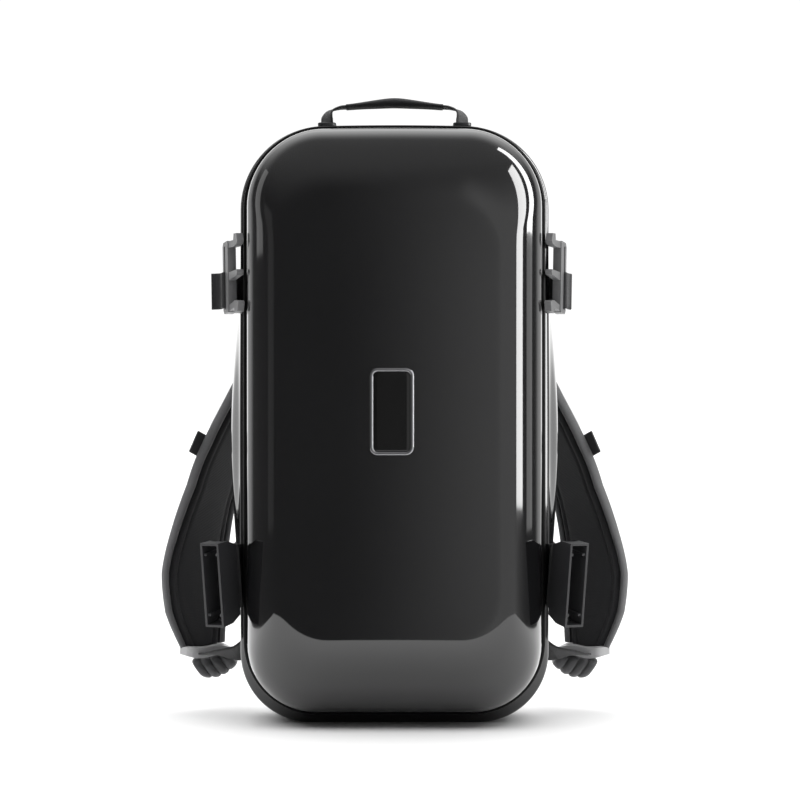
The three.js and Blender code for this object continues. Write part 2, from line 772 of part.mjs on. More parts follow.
// Socket half: a flat box with an open mouth, side windows and a bar for the webbing
function socket() {
  const wide = socketWide / 2;
  const tail = socketTailWide / 2;
  const long = socketLong;
  const shoulder = socketShoulder;
  const mouth = plate([
    [0, wide], [-shoulder, wide - socketTaper], [-socketMouthLong, tail + 1],
    [-socketMouthLong, -tail - 1], [-shoulder, socketTaper - wide], [0, -wide],
  ], socketThick);
  const back = plate([
    [-socketMouthLong + 2, tail], [-long + socketChamfer, tail], [-long, tail - socketChamfer],
    [-long, socketChamfer - tail], [-long + socketChamfer, -tail], [-socketMouthLong + 2, -tail],
  ], socketTailThick);
  const deep = socketMouthLong - 2 * socketWall;
  const inside = wide - socketWall;
  const hollow = plate([
    [1, inside], [-shoulder, inside - socketTaper], [-deep, tail - socketWall],
    [-deep, socketWall - tail], [-shoulder, socketTaper - inside], [1, -inside],
  ], socketThick - 2 * socketWall);
  const windowThick = socketThick / 2 - socketWall - 1;
  const windows = block(
    [-shoulder - windowBack, -windowThick, -wide - 1],
    [-shoulder + windowFore, windowThick, wide + 1],
  );
  const slotEnd = -long + barWide;
  const slot = block(
    [slotEnd, -socketThick, 2.5 - tail],
    [slotEnd + slotWide - 0.5, socketThick, tail - 2.5],
  );
  let part = mouth.add(back).subtract(hollow).subtract(windows).subtract(slot);
  const inner = socketThick / 2 - socketWall;
  const root = socketWall / 4; // how far a guide rib goes into the wall
  for (const side of [-1, 1]) {
    for (const level of [-guideShare, guideShare]) {
      const z = level * wide;
      const low = side > 0 ? inner - guideHigh : -inner - root;
      part = part.add(block(
        [-deep - root, low, z - guideWide / 2],
        [-socketWall, low + guideHigh + root, z + guideWide / 2],
      ));
    }
  }
  return surface(part);
}

// Plug half: a slotted base with two side prongs and a middle post
function clip() {
  const wide = clipWide / 2;
  const base = plate([
    [0, wide - 2], [-2, wide], [clipChamfer - clipBaseLong, wide], [-clipBaseLong, wide - clipChamfer],
    [-clipBaseLong, clipChamfer - wide], [clipChamfer - clipBaseLong, -wide], [-2, -wide], [0, 2 - wide],
  ], clipThick);
  const slotFront = -clipBaseLong + barWide;
  const slotHalf = wide - clipSlotEnd;
  const slot = block([slotFront, -clipThick, -slotHalf], [slotFront + slotWide, clipThick, slotHalf]);
  const inside = wide - prongWide - 0.5;
  const prong = (side) => plate([
    [-1, side * (inside + 1)], [prongLong * 0.6, side * (inside - 0.5)],
    [prongLong - 3, side * (inside + 0.6)],
    [prongLong, side * (inside + 2.6)], [prongLong - 3, side * (wide + prongHook - 1)],
    [prongLong * 0.6, side * (wide + prongHook)], [prongLong * 0.55, side * (inside + prongWide - 1.4)],
    [-1, side * (inside + prongWide)],
  ], prongThick);
  const post = plate([
    [-1, postWide / 2], [prongLong * 0.9, postWide / 3], [prongLong * 0.95, 0],
    [prongLong * 0.9, -postWide / 3], [-1, -postWide / 2],
  ].reverse(), prongThick);
  return surface(base.subtract(slot).add(prong(1)).add(prong(-1)).add(post));
}

// A flank strap's place against the rear shell, at a depth behind the seam
function againstFlank(y, level, wide) {
  const high = flankAt(y, level + wide / 2);
  const low = flankAt(y, level - wide / 2);
  const across = new THREE.Vector3(-(high - low) / wide, 0, 1).normalize();
  const bow = Math.max(flankAt(y, level) - (high + low) / 2, 0);
  return { out: (high + low) / 2 + bow + gap + sideWebThick / 2, across };
}

// The stretch of a flank strap from the pad's edge round the back of the rear shell and forwards
function flankStretch(level, wide, forwardTo) {
  const rows = [];
  const add = (x, y, across) => rows.push({
    at: new THREE.Vector3(-x, y, level), across, wide, thick: sideWebThick,
  });
  const away = gap + sideWebThick / 2 + 0.15;
  const start = rearFront + rearDepth - rearEdgeRound;
  const flank = againstFlank(start, level, wide);
  const middle = flank.out - sideWebThick / 2 - gap - rearEdgeRound;
  for (const angle of [68, 51, 34, 17]) {
    const out = (rearEdgeRound + away) * Math.cos(angle * degrees);
    add(middle + out + 0.1, start + (rearEdgeRound + away) * Math.sin(angle * degrees), flank.across);
  }
  for (const share of [0, 0.33, 0.66, 1]) {
    const y = mix(start, forwardTo, share);
    const place = againstFlank(y, level, wide);
    add(place.out + flankSlack, y, place.across);
  }
  return rows;
}

// A strap's row in a buckle's own frame: along its axis, out from it, and up
function buckleRow(frame, wide, along, out, level) {
  return {
    at: new THREE.Vector3(along, out, level).applyMatrix4(frame),
    across: new THREE.Vector3(0, 0, 1).transformDirection(frame),
    wide,
    thick: sideWebThick,
  };
}

// The loop of a strap round a buckle's bar; it comes in on the given side and leaves on the other
function barLoop(frame, barEnd, barThick, level, wide, side) {
  const round = gap + sideWebThick / 2 + 0.1;
  const half = barThick / 2;
  const bar = barEnd + barWide;
  const turn = Math.SQRT1_2 * round;
  const row = (along, out) => buckleRow(frame, wide, along, side * out, level);
  return [
    row(barEnd, half + round),
    row(bar, half + round),
    row(bar + turn, half + turn),
    row(bar + round, half),
    row(bar + round, -half),
    row(bar + turn, -half - turn),
    row(bar, -half - round),
    row(barEnd + 0.5, -half - round),
  ];
}

// Lower strap: from the pad's edge forwards along the flank and round the socket's bar
function lowerStrap(frame) {
  const rise = socketLong * Math.sin(socketDroop * degrees);
  const back = flankStretch(socketLevel + rise, lowerWebWide, rearFront + rearFlareDepth + lowerWebLead);
  const lead = buckleRow(frame, lowerWebWide, -socketLong - tailLead, -socketTailThick / 2 - gap, 0);
  const rows = [...back, lead, ...barLoop(frame, -socketLong, socketTailThick, 0, lowerWebWide, -1)];
  return strap(rows, rows.length - 1);
}

// Upper strap: the same way to the plug's bar, round it, and out to a free end
function upperStrap(frame, tailReach) {
  const wide = upperWebWide;
  const off = clipThick / 2 + gap + sideWebThick / 2 + 0.1;
  const level = new THREE.Vector3(-clipBaseLong, 0, -upperWebDrop).applyMatrix4(frame).z;
  const back = flankStretch(level, wide, rearFront + rearDepth * 0.62);
  const lead = buckleRow(frame, wide, -clipBaseLong - upperWebLead, off + 1.5, -upperWebDrop);
  const loop = barLoop(frame, -clipBaseLong, clipThick, -upperWebDrop, wide, 1);
  const free = (along, share, sink) => buckleRow(
    frame, wide, -clipBaseLong - along, -off - tailReach * share, -upperWebDrop - sink);
  const rows = [...back, lead, ...loop, free(2, 0.15, 0.2), free(4, 0.5, 0.5), free(5, 1, 1)];
  return strap(rows, rows.length - 1);
}

const finishes = {
  shell: { color: 0x151617, roughness: 0.08, metalness: 0 },
  bead: { color: 0x0b0b0c, roughness: 0.35, metalness: 0 },
  textile: { color: 0x1b1b1d, roughness: 0.9, metalness: 0 },
  webbing: { color: 0x121214, roughness: 0.8, metalness: 0 },
  moulding: { color: 0x1a1a1c, roughness: 0.4, metalness: 0 },
  badge: { color: 0x3a3b3e, roughness: 0.2, metalness: 1 },
};

const pack = new THREE.Group();
pack.name = 'hard_shell_backpack';

function piece(name, geometry, finish) {
  const mesh = new THREE.Mesh(geometry, new THREE.MeshStandardMaterial(finishes[finish]));
  mesh.name = name;
  pack.add(mesh);
  return mesh;
}

// A piece and its twin on the other flank
function pair(name, geometry, finish) {
  piece(`${name}_left`, geometry, finish);
  piece(`${name}_right`, mirrored(geometry), finish);
}

piece('front_shell', frontShell(), 'shell');
piece('seam_bead', seamBead(), 'bead');
piece('zip_band', zipBand(), 'textile');
piece('zip_slider', zipSlider(), 'moulding');
piece('rear_shell', rearShell(), 'shell');
piece('back_pad', backPad(), 'textile');
piece('badge_frame', badgeFrame(), 'badge')
  .position.set(badgeOffset, -frontDepth - gap - badgeStand / 2, badgeLevel);
piece('badge_plate', badgePlate(), 'shell')
  .position.set(badgeOffset, -frontDepth - gap - badgePlateThick / 2, badgeLevel);
piece('handle_strap', handleStrap(), 'webbing');
piece('handle_grip', handleGrip(), 'textile');
for (const [name, side] of [['left', -1], ['right', 1]]) {
  piece(`handle_anchor_${name}`, handleAnchor(), 'moulding')
    .position.set(side * handleSpan / 2, handleDepth, rearHigh + gap + anchorThick / 2);
}
pair('shoulder_strap', shoulderStrap(), 'textile');
pair('strap_tab', strapTab(), 'webbing');
pair('lower_webbing', lowerWebbing(), 'webbing');
pair('webbing_roll', webbingRoll(), 'webbing');
for (const [name, side] of [['left', 1], ['right', -1]]) {
  const mesh = piece(`strap_adjuster_${name}`, adjuster(), 'moulding');
  mesh.position.set(side * adjusterAt.x, adjusterAt.y, adjusterAt.z);
  mesh.rotation.z = side * adjusterTurn * degrees;
}
for (const [name, side] of [['left', -1], ['right', 1]]) {
  const socketMesh = piece(`socket_buckle_${name}`, socket(), 'moulding');
  placed(socketMesh, side * socketOut, -socketForward, socketLevel, -side * socketSplay, socketDroop);
  const clipMesh = piece(`clip_buckle_${name}`, clip(), 'moulding');
  placed(clipMesh, side * clipOut, clipBack, clipLevel, side * clipSplay, -clipLift);
  socketMesh.updateMatrix();
  clipMesh.updateMatrix();
  if (side < 0) {
    pair('lower_strap', lowerStrap(socketMesh.matrix), 'webbing');
    piece('upper_strap_left', upperStrap(clipMesh.matrix, tailReachLeft), 'webbing');
    piece('upper_strap_right', mirrored(upperStrap(clipMesh.matrix, tailReachRight)), 'webbing');
  }
}

// The origin goes to the middle of the overall box's base
pack.updateMatrixWorld(true);
const box = new THREE.Box3().setFromObject(pack, true);
pack.position.set(-(box.min.x + box.max.x) / 2, -(box.min.y + box.max.y) / 2, -box.min.z);
pack.updateMatrixWorld(true);

export default pack;
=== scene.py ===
"""Hard shell backpack: the visible pieces, finishes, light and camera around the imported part.

Rings and runs are in millimetres with the seam at Y = 0, and to_row takes them to the part's frame in metres.
"""

import logging
import math
from dataclasses import dataclass, field
from enum import Enum
from typing import Callable, Iterable

import bmesh
import bpy
from mathutils import Matrix, Vector


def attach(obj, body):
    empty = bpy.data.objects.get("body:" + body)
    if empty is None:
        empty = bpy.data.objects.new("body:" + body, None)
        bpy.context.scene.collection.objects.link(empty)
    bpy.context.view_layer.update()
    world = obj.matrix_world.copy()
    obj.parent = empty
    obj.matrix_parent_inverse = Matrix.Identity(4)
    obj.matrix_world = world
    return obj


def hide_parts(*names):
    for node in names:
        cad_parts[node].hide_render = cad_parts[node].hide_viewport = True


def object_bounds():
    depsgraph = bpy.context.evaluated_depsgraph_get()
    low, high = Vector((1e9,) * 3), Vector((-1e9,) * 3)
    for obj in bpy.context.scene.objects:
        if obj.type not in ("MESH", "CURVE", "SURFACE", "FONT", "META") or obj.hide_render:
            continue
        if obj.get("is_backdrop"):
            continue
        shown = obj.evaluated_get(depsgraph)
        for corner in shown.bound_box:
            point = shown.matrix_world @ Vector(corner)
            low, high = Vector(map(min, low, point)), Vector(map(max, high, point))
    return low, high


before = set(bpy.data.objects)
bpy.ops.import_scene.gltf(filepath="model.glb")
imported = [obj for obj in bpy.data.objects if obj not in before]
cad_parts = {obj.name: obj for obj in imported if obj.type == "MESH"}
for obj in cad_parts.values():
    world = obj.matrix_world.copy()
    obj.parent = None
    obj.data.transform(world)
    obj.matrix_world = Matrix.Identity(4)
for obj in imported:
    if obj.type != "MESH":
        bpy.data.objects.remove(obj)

log = logging.getLogger("backpack")

Ring = list[Vector]
Rings = list[Ring]
Offsets = list[tuple[float, float]]
Colour = tuple[float, float, float]

MM = 0.001
SEAM_Y = -72.04
GAP = 0.3
MERGED_M = 0.00002
JOINED_DEGREES = 1.0
TAPE_EDGE = 0.9
TAPE_STEPS = 8
CAD_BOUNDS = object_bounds()


class Side(Enum):
    """The two flanks, by the sign of their X."""

    LEFT = -1
    RIGHT = 1

    @property
    def label(self) -> str:
        """Gives the ending of a node's name on this flank."""
        return self.name.lower()


class Ends(Enum):
    """How a loft's first and last rings are finished."""

    CAPPED = "capped"
    HOOP = "hoop"


def mix(a: float, b: float, share: float) -> float:
    """Goes a share of the way from a to b."""
    return a + (b - a) * share


def ease(share: float) -> float:
    """Clamps a share to 0 to 1 and eases it, level at both ends."""
    s = min(max(share, 0.0), 1.0)
    return s * s * (3 - 2 * s)


def polar(degrees: float) -> tuple[float, float]:
    """Gives an angle's cosine and sine."""
    return math.cos(math.radians(degrees)), math.sin(math.radians(degrees))


def signed_power(value: float, exponent: float) -> float:
    """Raises a number's size to a power and keeps its sign."""
    return math.copysign(abs(value) ** exponent, value)


def dent(distance: float, spread: float) -> float:
    """Gives a groove's share of its depth at a distance from its middle."""
    return math.exp(-(distance / spread) ** 2)


def to_row(point: Vector) -> Vector:
    """Moves a point in millimetres behind the seam into the part's frame in metres."""
    return Vector((point.x, point.y + SEAM_Y, point.z)) * MM


# Shader building


def math_operator(operation: str, swap: bool = False) -> Callable[..., "Wire"]:
    """Makes an operator of Wire.

    Args:
        operation: The Math node's operation.
        swap: Whether the other value comes first, as in 1 - mask.

    Returns:
        The operator's method.
    """
    def apply(self: "Wire", *others: object) -> "Wire":
        """Adds the Math node."""
        values = [self, *others]
        return self.graph.math(operation, *(values[::-1] if swap else values))

    return apply


class Wire:
    """A shader value that takes part in sums like a number."""

    __add__, __radd__ = math_operator("ADD"), math_operator("ADD", swap=True)
    __sub__, __rsub__ = math_operator("SUBTRACT"), math_operator("SUBTRACT", swap=True)
    __mul__, __rmul__ = math_operator("MULTIPLY"), math_operator("MULTIPLY", swap=True)
    sine, absolute = math_operator("SINE"), math_operator("ABSOLUTE")

    def __init__(self, graph: "Graph", socket: bpy.types.NodeSocket) -> None:
        """Keeps the socket and the graph that it is in."""
        self.graph, self.socket = graph, socket

    def smooth(self, low: float, high: float) -> "Wire":
        """Eases the value from 0 at low to 1 at high."""
        return self.graph.value("ShaderNodeMapRange", {"interpolation_type": "SMOOTHSTEP"},
                                {"Value": self, "From Min": low, "From Max": high}, "Result")


class Graph:
    """One node tree, built by calls that read like formulas."""

    def __init__(self, tree: bpy.types.NodeTree) -> None:
        """Empties the tree."""
        self.tree = tree
        tree.nodes.clear()

    def node(self, kind: str, settings: dict | None = None, inputs: dict | None = None) -> bpy.types.Node:
        """Makes one node and connects it.

        Args:
            kind: The node's type name.
            settings: Attributes to set on the node first.
            inputs: Values or wires by input name or index.

        Returns:
            The new node.
        """
        made = self.tree.nodes.new(kind)
        for name, value in (settings or {}).items():
            setattr(made, name, value)
        for key, value in (inputs or {}).items():
            if isinstance(value, Wire):
                self.tree.links.new(value.socket, made.inputs[key])
            else:
                made.inputs[key].default_value = value
        return made

    def value(self, kind: str, settings: dict | None = None, inputs: dict | None = None,
              output: int | str = 0) -> Wire:
        """Makes one node as above and gives one of its outputs, by name or index."""
        return Wire(self, self.node(kind, settings, inputs).outputs[output])

    def math(self, operation: str, *values: object) -> Wire:
        """Makes one Math node of wires or numbers, in order."""
        return self.value("ShaderNodeMath", {"operation": operation}, dict(enumerate(values)))

    def coordinate(self, name: str) -> Wire:
        """Gives a texture coordinate: Object, UV or, for the world, Generated."""
        return self.value("ShaderNodeTexCoord", output=name)

    def parts(self, vector: Wire) -> tuple[Wire, Wire, Wire]:
        """Splits a vector into X, Y and Z."""
        split = self.node("ShaderNodeSeparateXYZ", None, {"Vector": vector})
        return tuple(Wire(self, output) for output in split.outputs)

    def noise(self, vector: Wire, scale: float, detail: float = 3.0, rough: float = 0.5) -> Wire:
        """Gives noise of about 0 to 1 with so many cells in a metre and octaves of a strength."""
        return self.value("ShaderNodeTexNoise", None, {
            "Vector": vector, "Scale": scale, "Detail": detail, "Roughness": rough})

    def shade(self, dark: Colour, light: Colour, share: Wire) -> Wire:
        """Blends two colours."""
        return self.value("ShaderNodeMix", {"data_type": "RGBA"}, {
            "Factor": share, 6: (*dark, 1.0), 7: (*light, 1.0)}, 2)

    def bump(self, height: Wire, distance: float, strength: float = 1.0) -> Wire:
        """Turns a height into a normal; a height of 1 stands for a distance in metres."""
        return self.value("ShaderNodeBump", None, {
            "Strength": strength, "Distance": distance, "Height": height})


def surface(name: str, shader: Callable[[Graph], dict]) -> bpy.types.Material:
    """Builds a material of one Principled shader.

    Args:
        name: The material's name.
        shader: Gives the shader's inputs, built in the material's graph.

    Returns:
        The material.
    """
    made = bpy.data.materials.new(name)
    made.use_nodes = True
    graph = Graph(made.node_tree)
    principled = graph.value("ShaderNodeBsdfPrincipled", None, shader(graph))
    graph.node("ShaderNodeOutputMaterial", None, {"Surface": principled})
    return made


@dataclass(frozen=True)
class Finish:
    """A surface: a slot name, which nothing here reads, two base tones, a roughness range and the shader's
    constants.

    Each kind of surface below is a subclass that says what its relief is.
    """

    name: str
    slot: str
    dark: Colour
    light: Colour
    rough: tuple[float, float]
    metallic: float = 0.0
    coat: float = 0.0
    sheen: float = 0.0
    specular: float = 0.5

    def relief(self, graph: Graph) -> tuple[Wire, Wire]:
        """Gives the tone of 0 to 1 and the normal, as each kind of surface says."""
        raise NotImplementedError

    def _shader(self, graph: Graph) -> dict:
        """Gives the inputs of the Principled shader.

        Args:
            graph: The material's graph.

        Returns:
            Values and wires by the input's name.
        """
        tone, normal = self.relief(graph)
        low, high = self.rough
        return {
            "Base Color": graph.shade(self.dark, self.light, tone),
            "Roughness": low + (high - low) * tone,
            "Metallic": self.metallic,
            "Coat Weight": self.coat,
            "Coat Roughness": 0.04,
            "Sheen Weight": self.sheen,
            "Sheen Roughness": 0.4,
            "Specular IOR Level": self.specular,
            "Normal": normal,
        }

    def material(self) -> bpy.types.Material:
        """Builds the material, or finds it if it has been built."""
        return bpy.data.materials.get(self.name) or surface(self.name, self._shader)


@dataclass(frozen=True)
class Grain(Finish):
    """Satin moulded plastic or rubber with a fine grain.

    The mottle is a scale, octaves and their strength. The grain is a scale, a depth and a strength.
    """

    mottle: tuple[float, float, float] = (300.0, 2.0, 0.5)
    grain: tuple[float, float, float] = (2600.0, 0.00003, 0.6)

    def relief(self, graph: Graph) -> tuple[Wire, Wire]:
        """Gives the mottled tone and the grain's normal.

        Args:
            graph: The material's graph.

        Returns:
            The tone and the normal.
        """
        place = graph.coordinate("Object")
        scale, depth, strength = self.grain
        return graph.noise(place, *self.mottle), graph.bump(graph.noise(place, scale, 1.0), depth, strength)


@dataclass(frozen=True)
class Gloss(Grain):
    """Polished moulded plastic with a barely uneven skin."""

    mottle: tuple[float, float, float] = (9.0, 4.0, 0.6)
    grain: tuple[float, float, float] = (40.0, 0.00012, 0.12)


@dataclass(frozen=True)
class Weave(Finish):
    """Woven tape: ribs across its run, with yarns that pass over and under."""

    rib: float = 0.0016
    yarn: float = 0.0009
    depth: float = 0.00028

    def relief(self, graph: Graph) -> tuple[Wire, Wire]:
        """Gives the yarns' tone and relief, on the piece's own UV map in metres.

        Args:
            graph: The material's graph.

        Returns:
            The tone and the normal.
        """
        across, along, _ = graph.parts(graph.coordinate("UV"))
        ribs = (along * (math.tau / self.rib)).sine()
        yarns = (across * (math.tau / self.yarn)).sine()
        fuzz = graph.noise(graph.coordinate("Object"), 1500.0, 2.0)
        height = ribs * yarns * 0.35 + ribs.absolute() * 0.4 + fuzz * 0.3
        return height * 0.7 + 0.15, graph.bump(height, self.depth)


@dataclass(frozen=True)
class Knit(Finish):
    """Knitted spacer fabric: rows of small open cells."""

    cell: float = 0.0026
    depth: float = 0.00035

    def relief(self, graph: Graph) -> tuple[Wire, Wire]:
        """Gives the cells' tone and relief, on the piece's own UV map in metres.

        Args:
            graph: The material's graph.

        Returns:
            The tone and the normal.
        """
        across, along, _ = graph.parts(graph.coordinate("UV"))
        rows = (along * (math.tau / self.cell)).sine()
        stitches = (across * (math.tau / self.cell) + rows * 0.8).sine()
        cells = (rows * stitches).absolute()
        height = cells * 0.6 + graph.noise(graph.coordinate("Object"), 900.0) * 0.4
        return height, graph.bump(height, self.depth)


@dataclass(frozen=True)
class Brushed(Finish):
    """Plated metal with fine upright brushing."""

    def relief(self, graph: Graph) -> tuple[Wire, Wire]:
        """Gives the brush strokes' tone and relief.

        Args:
            graph: The material's graph.

        Returns:
            The tone and the normal.
        """
        x, y, z = graph.parts(graph.coordinate("Object"))
        drawn = graph.value("ShaderNodeCombineXYZ", None, {0: x * 12.0, 1: y * 12.0, 2: z * 0.6})
        tone = graph.noise(drawn, 600.0, 2.0)
        return tone, graph.bump(tone, 0.00001, 0.3)


SHELL = Gloss("shell_gloss", "shell", (0.0035, 0.0035, 0.0038), (0.0055, 0.0055, 0.006), (0.045, 0.075),
              coat=1.0)
BEAD = Grain("bead_rubber", "bead", (0.002, 0.002, 0.002), (0.005, 0.005, 0.005), (0.3, 0.4), specular=0.1)
MOULDING = Grain("moulding_satin", "moulding", (0.022, 0.022, 0.024), (0.036, 0.036, 0.038), (0.3, 0.4))
# Clip halves: the sockets' dark plastic made lighter grey; the extra lightness is painted highlight from the
# side light.
CLIP_PAINTED_HIGHLIGHT = Grain("clip_satin_painted_highlight", "moulding", (0.13, 0.13, 0.133), (0.16, 0.16, 0.163), (0.3, 0.36))
# Adjusters: dark plastic painted light grey; the lightness is a painted highlight of the light from above on
# their top faces.
ADJUSTER_PAINTED_HIGHLIGHT = Grain("adjuster_satin_painted_highlight", "moulding", (0.36, 0.36, 0.365), (0.42, 0.42, 0.425), (0.35, 0.45))
BADGE = Brushed("badge_metal", "badge", (0.42, 0.42, 0.44), (0.6, 0.6, 0.62), (0.1, 0.2), metallic=1.0)
BADGE_FACE = Gloss("badge_gloss", "badge_face", (0.002, 0.002, 0.002), (0.004, 0.004, 0.004), (0.1, 0.16))
WEBBING = Weave("webbing_weave", "webbing", (0.008, 0.008, 0.009), (0.03, 0.03, 0.032), (0.6, 0.8),
                sheen=0.15)
TAPE = Weave("zip_tape", "zip_tape", (0.004, 0.004, 0.005), (0.014, 0.014, 0.015), (0.7, 0.85), rib=0.0011)
BINDING = Weave("binding_tape", "webbing", (0.05, 0.05, 0.052), (0.13, 0.13, 0.135), (0.45, 0.65),
                rib=0.0009, sheen=0.3)
COIL = Grain("zip_coil", "zip_tape", (0.006, 0.006, 0.006), (0.012, 0.012, 0.012), (0.3, 0.45))
PADDING = Knit("padding_knit", "padding", (0.006, 0.006, 0.007), (0.02, 0.02, 0.022), (0.75, 0.9), sheen=0.1)


# Mesh building


def placed(name: str, data: bpy.types.ID) -> bpy.types.Object:
    """Puts a mesh, light or camera into the scene.

    Args:
        name: The object's name.
        data: The mesh, light or camera.

    Returns:
        The object.
    """
    made = bpy.data.objects.new(name, data)
    bpy.context.scene.collection.objects.link(made)
    return made


def written(name: str, mesh: bmesh.types.BMesh) -> bpy.types.Mesh:
    """Writes a bmesh out and frees it.

    Args:
        name: The mesh's name.
        mesh: The bmesh.

    Returns:
        The mesh.
    """
    data = bpy.data.meshes.new(name)
    mesh.to_mesh(data)
    mesh.free()
    return data


def show(name: str, mesh: bmesh.types.BMesh, finish: Finish, *nodes: str,
         sharp: float = 60.0) -> bpy.types.Object:
    """Makes a visible piece of the part and ties it to the frame.

    Args:
        name: The piece's name.
        mesh: The geometry, in the part's frame.
        finish: Its surface.
        *nodes: CAD nodes that it stands for.
        sharp: Angle in degrees above which an edge stays sharp.

    Returns:
        The piece.
    """
    bmesh.ops.recalc_face_normals(mesh, faces=mesh.faces)
    for face in mesh.faces:
        face.smooth = True
    data = written(name, mesh)
    data.set_sharp_from_angle(angle=math.radians(sharp))
    data.materials.append(finish.material())
    piece = placed(name, data)
    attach(piece, "root")
    if nodes:
        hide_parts(*nodes)
    log.info("%s: %d faces", name, len(data.polygons))
    return piece


def cad_copy(node: str) -> bmesh.types.BMesh:
    """Copies a CAD node's mesh, merged and with its flat faces joined.

    Args:
        node: The node's name.

    Returns:
        The copy.
    """
    copy = bmesh.new()
    copy.from_mesh(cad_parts[node].data)
    for layer in list(copy.loops.layers.uv.values()):
        copy.loops.layers.uv.remove(layer)
    bmesh.ops.remove_doubles(copy, verts=copy.verts, dist=MERGED_M)
    bmesh.ops.dissolve_limit(copy, angle_limit=math.radians(JOINED_DEGREES), verts=copy.verts,
                             edges=copy.edges, use_dissolve_boundaries=False)
    return copy


def show_moulded(name: str, node: str, mesh: bmesh.types.BMesh, finish: Finish, width: float,
                 angle: float = 30.0) -> None:
    """Makes the piece of a rigid CAD node, with its sharp edges rounded.

    Args:
        name: The piece's name.
        node: The CAD node that it stands for.
        mesh: The node's copy.
        finish: Its surface.
        width: Width of the rounding in millimetres.
        angle: Least angle in degrees of a rounded edge.
    """
    bevel = show(name, mesh, finish, node, sharp=40.0).modifiers.new("Bevel", "BEVEL")
    bevel.width = width * MM
    bevel.segments = 3
    bevel.limit_method = "ANGLE"
    bevel.angle_limit = math.radians(angle)
    bevel.harden_normals = True


class Loft:
    """A skin drawn through rings of points by extruding one circle along them."""

    def __init__(self) -> None:
        """Starts an empty mesh with layers for each point's place in its ring and run."""
        self.mesh = bmesh.new()
        self.slot = self.mesh.verts.layers.int.new("slot")
        self.row = self.mesh.verts.layers.int.new("row")
        self.uv = self.mesh.loops.layers.uv.new("UVMap")

    def run(self, rings: Rings, ends: Ends = Ends.CAPPED) -> "Loft":
        """Adds one run of rings.

        Args:
            rings: Rings of equal length, in millimetres in the modelling frame.
            ends: Whether the run is capped or closes on itself.

        Returns:
            The loft.
        """
        count = len(rings[0])
        verts = bmesh.ops.create_circle(self.mesh, segments=count, radius=1.0)["verts"]
        for i, vert in enumerate(verts):
            vert[self.slot] = i
            vert[self.row] = 0
            vert.co = to_row(rings[0][i])
        edges = first = list(dict.fromkeys(edge for vert in verts for edge in vert.link_edges))
        faces = []
        for r, ring in enumerate(rings[1:], start=1):
            made = bmesh.ops.extrude_edge_only(self.mesh, edges=edges)["geom"]
            fresh = {g for g in made if isinstance(g, bmesh.types.BMVert)}
            edges = [g for g in made if isinstance(g, bmesh.types.BMEdge) and set(g.verts) <= fresh]
            faces += [g for g in made if isinstance(g, bmesh.types.BMFace)]
            for vert in fresh:
                vert[self.row] = r
                vert.co = to_row(ring[vert[self.slot]])
        if ends is Ends.HOOP:
            faces += bmesh.ops.bridge_loops(self.mesh, edges=first + edges)["faces"]
        else:
            for loop in (first, edges):
                faces += bmesh.ops.edgeloop_fill(self.mesh, edges=loop)["faces"]
        self._unwrap(rings, faces, count)
        return self

    def _unwrap(self, rings: Rings, faces: Iterable[bmesh.types.BMFace], count: int) -> None:
        """Gives a run a UV map in metres, around the first ring and along the run.

        Args:
            rings: The run's rings.
            faces: The run's faces.
            count: Points of a ring.
        """
        around = [0.0]
        for a, b in zip(rings[0], [*rings[0][1:], rings[0][0]]):
            around.append(around[-1] + (b - a).length * MM)
        along = [0.0]
        for a, b in zip(rings, rings[1:]):
            along.append(along[-1] + sum((q - p).length for p, q in zip(a, b)) / count * MM)
        for face in faces:
            slots = [loop.vert[self.slot] for loop in face.loops]
            wraps = len(slots) == 4 and max(slots) - min(slots) > 1
            for loop, slot in zip(face.loops, slots):
                u = around[count if wraps and slot == 0 else slot]
                loop[self.uv].uv = (u, along[loop.vert[self.row]])

    def finish(self) -> bmesh.types.BMesh:
        """Drops the working layers and sorts the edges and faces by their points.

        The operators leave them in an order that differs from run to run, and the cloth follows it.

        Returns:
            The mesh.
        """
        for name in ("slot", "row"):
            self.mesh.verts.layers.int.remove(self.mesh.verts.layers.int[name])
        self.mesh.verts.index_update()
        count = len(self.mesh.verts)

        def place(part: bmesh.types.BMEdge | bmesh.types.BMFace) -> float:
            """Makes one number of the lowest three of the points' numbers.

            Args:
                part: The edge or face.

            Returns:
                The number.
            """
            lowest = sorted(vert.index for vert in part.verts)[:3]
            return float(sum(index * count ** (2 - i) for i, index in enumerate(lowest)))

        self.mesh.edges.sort(key=place)
        self.mesh.faces.sort(key=place)
        return self.mesh


def show_loft(name: str, rings: Rings, finish: Finish, *nodes: str, ends: Ends = Ends.CAPPED,
              sharp: float = 60.0) -> bpy.types.Object:
    """Makes a piece of one run of rings.

    Args:
        name: The piece's name.
        rings: The rings, in millimetres in the modelling frame.
        finish: Its surface.
        *nodes: CAD nodes that it stands for.
        ends: Whether the run is capped or closes on itself.
        sharp: Angle in degrees above which an edge stays sharp.

    Returns:
        The piece.
    """
    return show(name, Loft().run(rings, ends).finish(), finish, *nodes, sharp=sharp)


@dataclass
class Station:
    """A place on a strap's run."""

    at: Vector
    across: Vector
    wide: float
    thick: float
    along: Vector = field(default_factory=Vector)

    @property
    def out(self) -> Vector:
        """Gives the direction out of the strap's face."""
        return self.along.cross(self.across)


